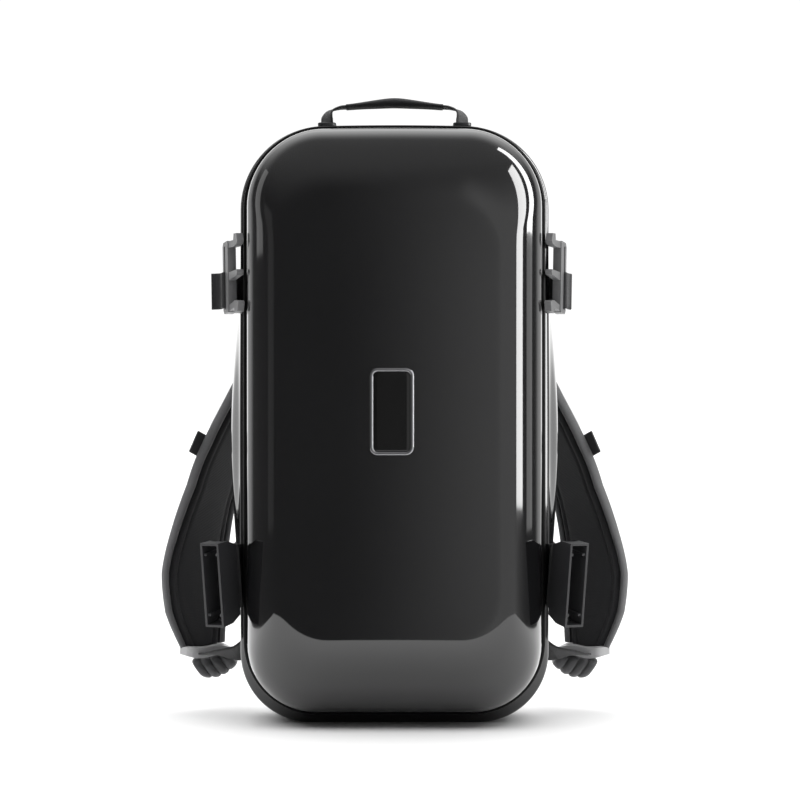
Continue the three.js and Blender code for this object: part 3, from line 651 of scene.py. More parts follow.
class Run:
    """A strap's path: a curve through stations with the width's direction at each."""

    TANGENT_STEP = 0.0005

    def __init__(self, stations: list[Station]) -> None:
        """Keeps the stations."""
        self.stations = stations

    def _stretch(self, share: float) -> tuple[int, float]:
        """Finds the stretch between two stations that a place is on.

        Args:
            share: Share of the run.

        Returns:
            The number of its first station, and the share of it that lies before the place.
        """
        place = share * (len(self.stations) - 1)
        i = min(int(place), len(self.stations) - 2)
        return i, place - i

    def _point(self, share: float) -> Vector:
        """Gives a point of the centripetal curve through the stations.

        Args:
            share: Share of the run.

        Returns:
            The point.
        """
        points = [s.at for s in self.stations]
        i, w = self._stretch(share)
        p1, p2 = points[i], points[i + 1]
        p0 = points[i - 1] if i > 0 else p1 + (p1 - p2)
        p3 = points[i + 2] if i + 2 < len(points) else p2 + (p2 - p1)
        d0, d1, d2 = ((b - a).length ** 0.5 or 1.0 for a, b in ((p0, p1), (p1, p2), (p2, p3)))
        t1 = ((p1 - p0) / d0 - (p2 - p0) / (d0 + d1) + (p2 - p1) / d1) * d1
        t2 = ((p2 - p1) / d1 - (p3 - p1) / (d1 + d2) + (p3 - p2) / d2) * d1
        w2, w3 = w ** 2, w ** 3
        return ((2 * w3 - 3 * w2 + 1) * p1 + (w3 - 2 * w2 + w) * t1
                + (3 * w2 - 2 * w3) * p2 + (w3 - w2) * t2)

    def frame(self, share: float) -> Station:
        """Gives the strap's place and directions.

        Args:
            share: Share of the run.

        Returns:
            The station there.
        """
        i, part = self._stretch(share)
        a, b = self.stations[i], self.stations[i + 1]
        ahead = self._point(min(share + self.TANGENT_STEP, 1.0))
        behind = self._point(max(share - self.TANGENT_STEP, 0.0))
        along = (ahead - behind).normalized()
        across = a.across.lerp(b.across, part)
        across = (across - along * across.dot(along)).normalized()
        wide, thick = mix(a.wide, b.wide, part), mix(a.thick, b.thick, part)
        return Station(self._point(share), across, wide, thick, along)

    def rings(self, steps: int, section: Callable[[Station], Offsets]) -> Rings:
        """Draws a section along the run.

        Args:
            steps: Number of steps.
            section: Gives offsets across and out, in millimetres, at a station.

        Returns:
            The rings.
        """
        stations = [self.frame(i / steps) for i in range(steps + 1)]
        return [[f.at + f.across * a + f.out * o for a, o in section(f)] for f in stations]


def tape_section(f: Station) -> Offsets:
    """Gives a flat tape's section with rounded edges and a finely stepped face.

    Args:
        f: The station.

    Returns:
        Offsets across and out.
    """
    wide, thick = f.wide / 2, f.thick / 2
    edge = min(thick, TAPE_EDGE)
    upper = [(mix(1, -1, i / TAPE_STEPS) * (wide - edge), thick) for i in range(TAPE_STEPS + 1)]
    lower = [(-a, -o) for a, o in upper]
    return [(wide, 0.0), *upper, (-wide, 0.0), *lower]


def on_side(rings: Rings, side: Side) -> Rings:
    """Takes rings of the left flank to a flank."""
    return [[Vector((-side.value * p.x, p.y, p.z)) for p in ring] for ring in rings]


# The shells, with the zip, the badge and the handle on them


@dataclass(frozen=True)
class Outline:
    """Sizes of the seam's outline, and the steps that it is drawn in."""

    half: float = 119.5
    low: float = 11.8
    high: float = 485.0
    top: float = 61.0
    base: float = 56.0
    crown: float = 3.0
    belly_level: float = 232.0
    belly_reach: float = 190.0
    corner_steps: int = 22
    side_steps: int = 36
    end_steps: int = 18

    @property
    def middle(self) -> float:
        """Gives the level halfway up."""
        return (self.low + self.high) / 2

    def belly_share(self, level: float) -> float:
        """Gives the share of the flanks' widest bulge at a level."""
        away = min(abs(level - self.belly_level) / self.belly_reach, 1.0)
        return 0.5 + 0.5 * math.cos(math.pi * away)

    def around(self, y: float, out: float) -> Ring:
        """Draws the seam's outline at a depth, moved out."""
        return self.ring(y, self.half + out, self.low - out, self.high + out, self.top + out, self.base + out)

    def ring(self, y: float, half: float, low: float, high: float, top: float, base: float,
             belly: float = 0.0) -> Ring:
        """Draws an outline of this kind with sizes of its own.

        Args:
            y: Depth behind the seam.
            half: Half the width.
            low: Lowest level.
            high: Highest level.
            top: Radius of the top corners.
            base: Radius of the base corners.
            belly: Bulge of the flanks.

        Returns:
            The ring, anticlockwise from the right flank's foot.
        """
        middle = (low + high) / 2
        points: Ring = []

        def add(x: float, z: float) -> None:
            """Adds a point, bulged at the flanks and lowered towards the ends of the crown.

            Args:
                x: Distance to the right.
                z: Height.
            """
            wide = x * (1 + belly * self.belly_share(z) / half)
            near = ease((z - middle) / (high - top - middle))
            points.append(Vector((wide, y, z - self.crown * (x / half) ** 2 * near)))

        def corner(x: float, z: float, radius: float, start: float) -> None:
            """Adds a quarter circle.

            Args:
                x: Its centre's distance to the right.
                z: Its centre's height.
                radius: Its radius.
                start: Angle in degrees at which it starts.
            """
            for i in range(self.corner_steps):
                c, s = polar(start + 90 * i / self.corner_steps)
                add(x + radius * c, z + radius * s)

        def line(steps: int, x0: float, z0: float, x1: float, z1: float) -> None:
            """Adds a straight stretch without its last point."""
            for i in range(steps):
                add(mix(x0, x1, i / steps), mix(z0, z1, i / steps))

        line(self.side_steps, half, low + base, half, high - top)
        corner(half - top, high - top, top, 0)
        line(self.end_steps, half - top, high, top - half, high)
        corner(top - half, high - top, top, 90)
        line(self.side_steps, -half, high - top, -half, low + base)
        corner(base - half, low + base, base, 180)
        line(self.end_steps, base - half, low, half - base, low)
        corner(half - base, low + base, base, 270)
        return points


SEAM = Outline()


@dataclass(frozen=True)
class FrontShell:
    """The front half shell with its wide rounded edge and faintly domed face."""

    depth: float = 60.0
    dome: float = 4.0
    draft: float = 5.0
    draft_turn: float = 60.0
    edge_depth: float = 45.0
    side_round: float = 30.0
    end_round: float = 60.0
    corner_shrink: float = 0.42
    wall: float = 2.5

    def _ring(self, angle: float, inner: bool, straight: float = 1.0) -> Ring:
        """Draws the shell's outline at an angle of its rounded edge.

        Args:
            angle: Degrees round the edge, from 0 at the flank to 90 at the face.
            inner: Whether it is the wall's inner side.
            straight: Share of the straight rim that lies between it and the seam.

        Returns:
            The ring.
        """
        c, s = polar(angle)
        draft = self.draft * ease(angle / self.draft_turn)
        wall = self.wall if inner else 0.0
        inward = wall * c
        side = draft + self.side_round * (1 - c)
        end = draft + self.end_round * (1 - c)
        flat = self.depth - self.dome - self.edge_depth
        depth = flat * straight + self.edge_depth * s
        tighter = 1 - self.corner_shrink * (1 - c)
        return SEAM.ring(
            wall * s - depth, SEAM.half - side - inward, SEAM.low + end + inward, SEAM.high - end - inward,
            SEAM.top * tighter - inward, SEAM.base * tighter - inward)

    def _bowed(self, ring: Ring) -> Ring:
        """Moves a ring forward by the dome, which fades towards the shell's outline.

        Args:
            ring: The ring.

        Returns:
            The domed ring.
        """
        reach = (SEAM.high - SEAM.low) / 2
        made = []
        for p in ring:
            across = max(1 - (p.x / SEAM.half) ** 2, 0.0)
            upright = max(1 - ((p.z - SEAM.middle) / reach) ** 4, 0.0)
            made.append(Vector((p.x, p.y - self.dome * across * upright, p.z)))
        return made

    def _face(self, share: float, inner: bool) -> Ring:
        """Draws the edge's last ring again, a share of the way to the face's middle."""
        edge = self._ring(90, inner)
        return [Vector((p.x * (1 - share), p.y, mix(p.z, SEAM.middle, share))) for p in edge]

    def build(self) -> None:
        """Builds the shell."""
        shares = [0.98, 0.93, *(mix(0.88, 0.04, i / 20) for i in range(21))]
        outer = [self._ring(0, False, s) for s in (0.0, 0.04, 0.3, 0.65)]
        outer += [self._ring(angle, False) for angle in range(0, 91, 3)]
        inner = [self._ring(0, True, 0.0)] + [self._ring(angle, True) for angle in range(0, 91, 9)]
        rings = [self._face(s, False) for s in shares] + outer[::-1] + inner
        rings += [self._face(s, True) for s in shares[::-1]]
        show_loft("front_shell_skin", [self._bowed(ring) for ring in rings], SHELL, "front_shell")


@dataclass(frozen=True)
class RearShell:
    """The rear half shell: it flares out behind the seam, bulges at the flanks and rounds into its back."""

    front: float = 18.9
    depth: float = 96.0
    lip: float = 1.5
    flare: float = 7.0
    top_flare: float = 5.0
    base_flare: float = 11.8
    flare_depth: float = 6.0
    edge_round: float = 22.0
    belly: float = 9.4
    belly_depth: float = 40.0
    wall: float = 2.5

    @property
    def flank(self) -> float:
        """Gives the depth behind the rim at which the back's rounding starts."""
        return self.depth - self.edge_round

    def _flared(self, depth: float) -> float:
        """Gives the share of the flare behind the rim at a depth."""
        return math.sin(min(depth / self.flare_depth, 1.0) * math.pi / 2)

    def ring(self, depth: float, inset: float) -> Ring:
        """Draws the outline at a depth.

        Args:
            depth: Depth behind the shell's own rim.
            inset: Distance in from its outer face.

        Returns:
            The ring.
        """
        side, top, base = (mix(self.lip, flare, self._flared(depth)) - inset
                           for flare in (self.flare, self.top_flare, self.base_flare))
        return SEAM.ring(
            self.front + depth, SEAM.half + side, SEAM.low - base, SEAM.high + top, SEAM.top + top,
            SEAM.base + self.lip - inset, self.belly * ease(depth / self.belly_depth))

    def flank_at(self, y: float, level: float) -> float:
        """Gives half the shell's width at a place on its flank.

        Args:
            y: Depth behind the seam.
            level: Height.

        Returns:
            Distance from the middle line.
        """
        depth = y - self.front
        flared = 0.0 if depth < 0 else self._flared(depth)
        rounded = max(depth - self.flank, 0.0) / self.edge_round
        turned = self.edge_round * (1 - math.sqrt(max(1 - rounded ** 2, 0.0)))
        bulge = self.belly * ease(depth / self.belly_depth) * SEAM.belly_share(level)
        return SEAM.half + mix(self.lip, self.flare, flared) + bulge - turned

    def build(self) -> None:
        """Builds the shell."""
        depths = [0.0, 0.15, *(self.flare_depth * s / 8 for s in range(1, 9))]
        depths += [mix(self.flare_depth, self.flank, s / 22) for s in range(1, 23)]
        outer = [self.ring(0.0, 0.25)] + [self.ring(d, 0.0) for d in depths]
        for c, s in map(polar, range(9, 91, 9)):
            outer.append(self.ring(self.flank + self.edge_round * s, self.edge_round * (1 - c)))
        inner = [self.ring(d, self.wall) for d in (0.0, 3.0, 6.0, 15.0, 24.0, 40.0, self.flank)]
        for c, s in map(polar, (30, 60, 90)):
            inset = self.edge_round * (1 - c) + self.wall * c
            inner.append(self.ring(self.flank + (self.edge_round - self.wall) * s, inset))
        show_loft("rear_shell_skin", outer[::-1] + inner, SHELL, "rear_shell")


REAR = RearShell()


@dataclass(frozen=True)
class Zip:
    """The bead, the tape behind it with its coil, and the slider."""

    bead_front: float = 0.3
    bead_width: float = 6.0
    bead_stand: float = 3.5
    bead_seat: float = 3.0
    band_width: float = 12.0
    band_stand: float = 0.4
    band_thick: float = 2.0
    tooth_pitch: float = 2.1
    tooth_stand: float = 0.45
    tooth: tuple[float, float, float] = (1.35, 4.6, 0.8)
    slider_edge: float = 0.5

    def build(self) -> None:
        """Builds the bead, the tape, the coil's teeth and the slider."""
        self._bead()
        self._band()
        show_moulded("zip_slider_body", "zip_slider", cad_copy("zip_slider"), MOULDING, self.slider_edge)

    def _bead(self) -> None:
        """Builds the round bead on the front shell's rim."""
        radius = self.bead_width / 2
        middle = self.bead_front + radius
        rings = [SEAM.around(self.bead_front, -self.bead_seat)]
        for c, s in map(polar, range(-90, 91, 15)):
            rings.append(SEAM.around(middle + radius * s, self.bead_stand - radius + radius * c))
        rings.append(SEAM.around(self.bead_front + self.bead_width, -self.bead_seat))
        show_loft("seam_bead_round", rings, BEAD, "seam_bead", ends=Ends.HOOP, sharp=50.0)

    def _band(self) -> None:
        """Builds the zip's tape and its teeth."""
        front = self.bead_front + self.bead_width + GAP
        back = front + self.band_width
        rings = [SEAM.around(front, self.band_stand - self.band_thick)]
        rings += [SEAM.around(mix(front, back, i / 10), self.band_stand) for i in range(11)]
        rings.append(SEAM.around(back, self.band_stand - self.band_thick))
        show_loft("zip_tape", rings, TAPE, "zip_band", ends=Ends.HOOP, sharp=50.0)
        self._teeth((front + back) / 2)

    def _teeth(self, y: float) -> None:
        """Builds the coil's teeth, one pitch apart all round.

        Args:
            y: Depth of the coil's middle behind the seam.
        """
        outline = SEAM.around(y, self.band_stand + self.tooth_stand)
        teeth = bmesh.new()
        size = Matrix.Diagonal((*(side * MM for side in self.tooth), 1.0))
        back = Vector((0, 1, 0))
        spare = 0.0
        for a, b in zip(outline, [*outline[1:], outline[0]]):
            direction = (b - a).normalized()
            turn = Matrix((direction, back, direction.cross(back))).transposed().to_4x4()
            place = spare
            while place < (b - a).length:
                at = Matrix.Translation(to_row(a + direction * place))
                bmesh.ops.create_cube(teeth, size=1.0, matrix=at @ turn @ size)
                place += self.tooth_pitch
            spare = place - (b - a).length
        show("zip_coil_teeth", teeth, COIL, sharp=40.0)


@dataclass(frozen=True)
class Badge:
    """The bare badge: a raised rounded frame round a plain glossy plate."""

    width: float = 35.0
    height: float = 69.2
    corner: float = 6.4
    least_corner: float = 0.6
    rim: float = 2.6
    stand: float = 2.2
    soft: float = 0.55
    plate_thick: float = 1.2
    plate_soft: float = 0.2
    plate_border: float = 3.0
    level: float = 255.4
    offset: float = -2.0
    face: float = -60.0

    def _ring(self, inset: float, y: float) -> Ring:
        """Draws the badge's rounded outline.

        Args:
            inset: Distance in from the badge's edge.
            y: Depth behind the seam.

        Returns:
            The ring.
        """
        half, high = self.width / 2 - inset, self.height / 2 - inset
        radius = max(self.corner - inset, self.least_corner)
        points = []
        for q in range(4):
            x = (half - radius) * (1 if q in (0, 3) else -1)
            z = (high - radius) * (1 if q < 2 else -1)
            for c, s in (polar((q + i / 10) * 90) for i in range(11)):
                points.append(Vector((self.offset + x + radius * c, y, self.level + z + radius * s)))
        return points

    def build(self) -> None:
        """Builds the frame and the plate."""
        back, rim, soft, less = self.face - GAP, self.rim, self.soft, self.soft * 0.3
        front = back - self.stand
        frame_section = [(0.0, back), (0.0, front + soft), (less, front + less), (soft, front),
                         (rim - soft, front), (rim - less, front + less), (rim, front + soft), (rim, back)]
        show_loft("badge_rim", [self._ring(i, y) for i, y in frame_section], BADGE, "badge_frame",
                  ends=Ends.HOOP, sharp=50.0)
        inset, level, soft = rim + GAP, back - self.plate_thick, self.plate_soft
        plate_section = [(inset, back), (inset, level + soft), (inset + soft, level),
                         (inset + self.plate_border, level)]
        show_loft("badge_insert", [self._ring(i, y) for i, y in plate_section], BADGE_FACE, "badge_plate",
                  sharp=50.0)


@dataclass(frozen=True)
class Handle:
    """The carry handle: webbing between two anchors, through a padded grip.

    Each row of the shape is a share of the half span, a share of the rise and a share of the turn.
    """

    depth: float = 45.0
    span: float = 111.5
    rise: float = 20.2
    wide: float = 25.0
    thick: float = 1.8
    turn: float = 22.0
    top: float = 490.0
    anchor_thick: float = 3.0
    anchor_edge: float = 0.8
    grip_span: float = 80.0
    grip_wide: float = 29.0
    grip_thick: float = 7.6
    grip_end: float = 3.9
    grip_skin: float = 0.7
    grip_square: float = 0.6
    grip_crown: float = 0.8
    hollow_flat: float = 1.4
    grip_steps: int = 40
    web_steps: int = 120
    seam_at: float = 0.86
    seam_deep: float = 0.22
    seam_spread: float = 0.05
    shape: tuple = ((1.0, 0.0, 1.0), (1.0, 0.28, 1.0), (0.95, 0.58, 0.65), (0.82, 0.76, 0.3),
                    (0.66, 0.81, 0.0), (0.3, 0.93, 0.0))

    def run(self) -> Run:
        """Gives the webbing's path.

        Returns:
            The path from the left foot to the right one.
        """
        foot = self.top + self.anchor_thick + 2 * GAP
        rise = self.top + self.rise - foot

        def station(side: int, out: float, up: float, turn: float) -> Station:
            """Gives a station of the webbing.

            Args:
                side: 1 to the right of the middle, and -1 to the left.
                out: Share of the half span.
                up: Share of the rise.
                turn: Share of the turn.

            Returns:
                The station.
            """
            c, s = polar(self.turn * turn)
            at = Vector((side * out * self.span / 2, self.depth, foot + up * rise))
            return Station(at, Vector((side * s, c, 0)), self.wide, self.thick)

        rows = [(-1, *row) for row in self.shape] + [(1, 0.0, 1.0, 0.0)]
        rows += [(1, *row) for row in reversed(self.shape)]
        return Run([station(*row) for row in rows])

    def build(self) -> None:
        """Builds the webbing, the grip and the anchors."""
        path = self.run()
        show_loft("handle_web", path.rings(self.web_steps, tape_section), WEBBING, "handle_strap")
        self._grip(path)
        for side in Side:
            node = f"handle_anchor_{side.label}"
            show_moulded(f"{node}_cap", node, cad_copy(node), MOULDING, self.anchor_edge)

    def _share_at(self, path: Run, x: float) -> float:
        """Finds the share of the path at which it is at a distance from the middle.

        Args:
            path: The webbing's path.
            x: The distance, to the right.

        Returns:
            The share.
        """
        low, high = 0.0, 1.0
        for _ in range(30):
            share = (low + high) / 2
            low, high = (share, high) if path.frame(share).at.x < x else (low, share)
        return low

    def _grip(self, path: Run) -> None:
        """Builds the padded sleeve, thicker at its middle, with the webbing's hollow in it.

        Args:
            path: The webbing's path.
        """
        half = self.grip_span / 2
        start, end = self._share_at(path, -half), self._share_at(path, half)
        hollow = self.thick / 2 + GAP
        outer, inner = [], []
        for i in range(self.grip_steps + 1):
            f = path.frame(mix(start, end, i / self.grip_steps))
            full = ease(1 - abs(f.at.x) / half)
            thick = max(mix(self.grip_end, self.grip_thick, full) / 2, hollow + self.grip_skin)
            ring, hole = [], []
            for c, s in map(polar, range(0, 360, 15)):
                seam = 1.0 - self.seam_deep * dent(abs(c) - self.seam_at, self.seam_spread)
                ring.append(f.at + f.across * (signed_power(c, self.grip_square) * self.grip_wide / 2)
                            + f.out * (signed_power(s, self.grip_crown) * thick * seam))
                flat = max(min(c * self.hollow_flat, 1.0), -1.0) * (self.wide / 2 + GAP)
                deep = math.copysign(hollow if abs(s) > 0.01 else 0.0, s)
                hole.append(f.at + f.across * flat + f.out * deep)
            outer.append(ring)
            inner.append(hole)
        show_loft("handle_sleeve", outer + inner[::-1], PADDING, "handle_grip", ends=Ends.HOOP)


# The padding, and the webbing that hangs from it


# How the padding's fabric behaves while it settles
CLOTH = {
    "quality": 5, "mass": 0.2, "tension_stiffness": 30, "compression_stiffness": 30, "shear_stiffness": 12,
    "bending_stiffness": 1.5, "use_pressure": True, "vertex_group_mass": "held",
}


def puff(body: bpy.types.Object, free: Callable[[Vector], bool], pressure: float, frames: int) -> None:
    """Lets padded fabric settle: its seams are held and the filling pushes out between them.

    Args:
        body: The padded piece, which keeps the last shape of a short cloth simulation.
        free: Says whether a point may move.
        pressure: Push of the filling.
        frames: Length of the simulation.
    """
    pins = body.vertex_groups.new(name="held")
    for vert in body.data.vertices:
        pins.add([vert.index], 0.0 if free(vert.co) else 1.0, "REPLACE")
    cloth = body.modifiers.new("Cloth", "CLOTH")
    for name, value in CLOTH.items():
        setattr(cloth.settings, name, value)
    cloth.settings.uniform_pressure_force = pressure
    cloth.settings.effector_weights.gravity = 0.0
    cloth.point_cache.frame_end = frames
    scene = bpy.context.scene
    for number in range(1, frames + 1):
        scene.frame_set(number)
    settled = bpy.data.meshes.new_from_object(body.evaluated_get(bpy.context.evaluated_depsgraph_get()))
    body.modifiers.clear()
    body.vertex_groups.clear()
    body.data = settled
    scene.frame_set(1)


@dataclass(frozen=True)
class BackPad:
    """The padded back: foam under spacer fabric, with a stitched channel round it.

    The hem's rows are a depth behind the pad's front and an inset of its outline.
    """

    front: float = 115.2
    thick: float = 15.0
    half: float = 112.0
    low: float = 26.0
    high: float = 470.0
    corner: float = 45.0
    edge_round: float = 7.0
    hem: tuple = ((0.0, 2.3), (1.2, 0.6), (2.3, 0.0), (5.2, 0.0))
    channel: float = 0.34
    channel_deep: float = 2.6
    channel_spread: float = 0.018
    face_steps: int = 40
    held: float = 1.2
    pressure: float = 0.6
    frames: int = 22
    piping: float = 1.1
    piping_stand: float = 0.2
    piping_front: float = 1.0

    @property
    def back(self) -> float:
        """Gives the depth of the pad's back face behind the seam."""
        return self.front + self.thick

    def _ring(self, depth: float, inset: float) -> Ring:
        """Draws the pad's outline at a depth behind its front, moved in."""
        return SEAM.ring(self.front + depth, self.half - inset, self.low + inset, self.high - inset,
                         self.corner - inset, self.corner - inset)

    def build(self) -> None:
        """Builds the pad and its piping."""
        rings = [self._ring(depth, inset) for depth, inset in self.hem]
        start = self.thick - self.edge_round
        for c, s in map(polar, range(0, 91, 15)):
            rings.append(self._ring(start + self.edge_round * s, self.edge_round * (1 - c)))
        edge = rings[-1]
        middle = (self.low + self.high) / 2
        for i in range(1, self.face_steps):
            share = i / self.face_steps
            dip = self.channel_deep * dent(share - self.channel, self.channel_spread)
            rings.append([Vector((p.x * (1 - share), p.y - dip, mix(p.z, middle, share))) for p in edge])
        pad = show_loft("back_pad_cover", rings, PADDING, "back_pad", sharp=70.0)
        face = (self.back + SEAM_Y) * MM
        puff(pad, lambda point: (point.y - face) / MM >= -self.held, self.pressure, self.frames)
        depth = start - self.piping_front
        piping = [self._ring(depth + self.piping * s, -self.piping_stand - self.piping * c)
                  for c, s in map(polar, range(0, 360, 45))]
        show_loft("back_pad_piping", piping, BINDING, ends=Ends.HOOP, sharp=80.0)


PAD = BackPad()


@dataclass(frozen=True)
class Shoulder:
    """The padded shoulder straps with their bound edges and webbing tabs.

    Each row of the shape is a share of the spread, the bow and the rise, a turn in degrees, and a share of
    the width and the thickness.
    """

    rise: float = 388.0
    foot: float = 54.0
    bow: float = 50.0
    spread: float = 124.5
    seat: float = 48.0
    wide: float = 62.0
    thick: float = 11.0
    steps: int = 110
    cover_inset: float = 2.6
    cover_steps: int = 52
    cover_least: float = 0.8
    cover_low: float = 0.25
    cover_swell: float = 0.69
    swell_from: float = 6.8
    swell_over: float = 2.0
    groove_at: float = 12.2
    groove_deep: float = 1.5
    groove_spread: float = 0.9
    held: float = 12.5
    pressure: float = 0.45
    frames: int = 16
    binding: float = 2.5
    binding_tall: float = 0.9
    tab_at: float = 0.55
    tab_inner: float = 0.4
    tab_wide: float = 20.0
    tab_reach: float = 7.0
    web: float = 1.5
    shape: tuple = (
        (0.0, 0.0, 1.0, 0, 0.92, 0.7), (0.0, 0.02, 0.98, 0, 0.93, 0.7), (0.03, 0.34, 0.955, 2, 0.95, 0.9),
        (0.1, 0.76, 0.89, 6, 1.0, 1.0), (0.26, 0.98, 0.755, 20, 1.0, 1.0), (0.53, 1.0, 0.578, 40, 0.98, 1.0),
        (0.8, 0.88, 0.42, 50, 0.96, 1.0), (0.895, 0.76, 0.33, 49, 0.95, 1.0),
        (0.97, 0.6, 0.23, 41, 0.98, 1.0), (1.0, 0.45, 0.15, 31, 1.0, 1.0),
        (0.985, 0.33, 0.077, 28, 0.93, 0.95), (0.94, 0.24, 0.0, 25, 0.66, 0.6),
    )

    def run(self) -> Run:
        """Gives the left strap's path.

        Returns:
            The path from its seat to its foot.
        """
        seat = PAD.back + GAP + self.thick * self.shape[0][5] / 2
        stations = []
        for out, back, up, turn, wide, thick in self.shape:
            at = Vector((-self.seat - out * self.spread, seat + back * self.bow, self.foot + up * self.rise))
            stations.append(Station(at, Vector((*polar(turn), 0)), self.wide * wide, self.thick * thick))
        return Run(stations)

    def _cover(self, f: Station) -> Offsets:
        """Gives the padding's section: thin under the binding, with a sewn groove inside its swell.

        Args:
            f: The station.

        Returns:
            Offsets across and out.
        """
        wide, thick = f.wide / 2 - self.cover_inset, f.thick / 2
        upper = []
        for i in range(self.cover_steps + 1):
            a = math.sin(mix(math.pi / 2, -math.pi / 2, i / self.cover_steps))
            inset = (1 - abs(a)) * wide + self.cover_inset
            swell = ease((inset - self.swell_from) / self.swell_over)
            height = thick * (self.cover_low + self.cover_swell * swell)
            height -= self.groove_deep * dent(inset - self.groove_at, self.groove_spread)
            upper.append((a * wide, max(height, self.cover_least)))
        return upper + [(-a, -o) for a, o in upper]

    def _binding(self, f: Station, sign: float) -> Offsets:
        """Gives the section of the binding on one edge.

        Args:
            f: The station.
            sign: 1 for the edge that the width points to, and -1 for the other.

        Returns:
            Offsets across and out.
        """
        ring = []
        for c, s in map(polar, range(0, 360, 18)):
            tall = signed_power(s, 0.8) * f.thick / 2 * self.binding_tall
            ring.append((sign * (f.wide / 2 - self.binding + self.binding * c), tall))
        return ring if sign > 0 else ring[::-1]

    def build(self) -> None:
        """Builds both straps."""
        path = self.run()
        cover = path.rings(self.steps, self._cover)
        centre = [path.frame(i / self.steps) for i in range(self.steps + 1)]
        for side in Side:
            name = f"shoulder_strap_{side.label}"
            pad = show_loft(f"{name}_cover", on_side(cover, side), PADDING, name, sharp=70.0)
            places = [(to_row(Vector((side.value * -f.at.x, f.at.y, f.at.z))), f) for f in centre]

            def free(point: Vector) -> bool:
                """Says whether a point lies inside the strap's seams."""
                near, f = min(places, key=lambda place: (place[0] - point).length_squared)
                return (point - near).length / MM < f.wide / 2 - self.held

            puff(pad, free, self.pressure, self.frames)
            binding = Loft()
            for sign in (-1.0, 1.0):
                rings = path.rings(self.steps, lambda f, s=sign: self._binding(f, s))
                binding.run(on_side(rings, side))
            show(f"{name}_binding", binding.finish(), BINDING)
            self._tab(path, side)

    def _tab(self, path: Run, side: Side) -> None:
        """Builds the webbing tab that lies across a strap and stands out at its edge.

        Args:
            path: The left strap's path.
            side: The flank.
        """
        f = path.frame(self.tab_at)
        level = (f.thick / 2 + GAP + self.web / 2) * (1 if f.out.y > 0 else -1)
        ends = (f.wide * self.tab_inner, 0.0, -f.wide / 2 - self.tab_reach)
        stations = [Station(f.at + f.across * a + f.out * level, f.along, self.tab_wide, self.web)
                    for a in ends]
        name = f"strap_tab_{side.label}"
        show_loft(f"{name}_web", on_side(Run(stations).rings(12, tape_section), side), WEBBING, name)


STRAPS = Shoulder()


@dataclass(frozen=True)
class Bundle:
    """The rolled-up spare webbing: turns side by side along a slanting line, each pinched at its edges."""

    turns: int = 4
    lean: float = -55.0
    forward: float = 0.1
    deep: tuple[float, float, float] = (0.12, 1.0, -0.1)
    start: float = -7.5
    end: float = 24.5
    drop: float = -13.3
    rise: float = 9.0
    least: float = 5.5
    swell: float = 5.0
    swell_from: float = 0.25
    fill: float = 0.49
    pinch: float = 0.16
    thick: float = 2.4
    square: float = 2.6
    layers: tuple[float, ...] = (1, 0.85, 0.5, 0, -0.5, -0.85, -1)

    def _layer(self, turn: int, place: float, inner: bool, wide: float) -> tuple[Vector, float, float]:
        """Gives one layer across a turn of webbing.

        Args:
            turn: The turn's number.
            place: Place across it, from -1 to 1.
            inner: Whether it is the turn's inner side.
            wide: The webbing's width.

        Returns:
            Its centre, half its height and half its width.
        """
        share = (turn + 0.5 + self.fill * place) / self.turns
        tall = self.least + self.swell * math.sin(math.pi * mix(self.swell_from, 1.0, share))
        centre = Vector((mix(self.start, self.end, share), 0, self.rise * share ** 2 + self.drop))
        pinch = (1 - self.pinch * abs(place) ** 3) * (1 - self.thick / tall if inner else 1)
        return centre, tall * pinch, wide / 2 * pinch

    def mesh(self, at: Vector, side: Side, wide: float) -> bmesh.types.BMesh:
        """Draws the bundle.

        Args:
            at: The left adjuster's middle.
            side: The flank.
            wide: The webbing's width.

        Returns:
            The mesh.
        """
        c, s = polar(self.lean)
        down = Vector((c, self.forward, s)).normalized()
        deep = Vector(self.deep)
        deep = (deep - down * deep.dot(down)).normalized()
        places = [(place, False) for place in self.layers] + [(-1, True), (1, True)]
        loft = Loft()
        for turn in range(self.turns):
            layers = [self._layer(turn, place, inner, wide) for place, inner in places]
            rings = []
            for c, s in (polar(k * 7.5) for k in range(48)):
                reach = (abs(c) ** self.square + abs(s) ** self.square) ** (-1 / self.square)
                rings.append([at + centre + down * (c * reach * tall) + deep * (s * reach * half)
                              for centre, tall, half in layers])
            loft.run(on_side(rings, side), Ends.HOOP)
        return loft.finish()


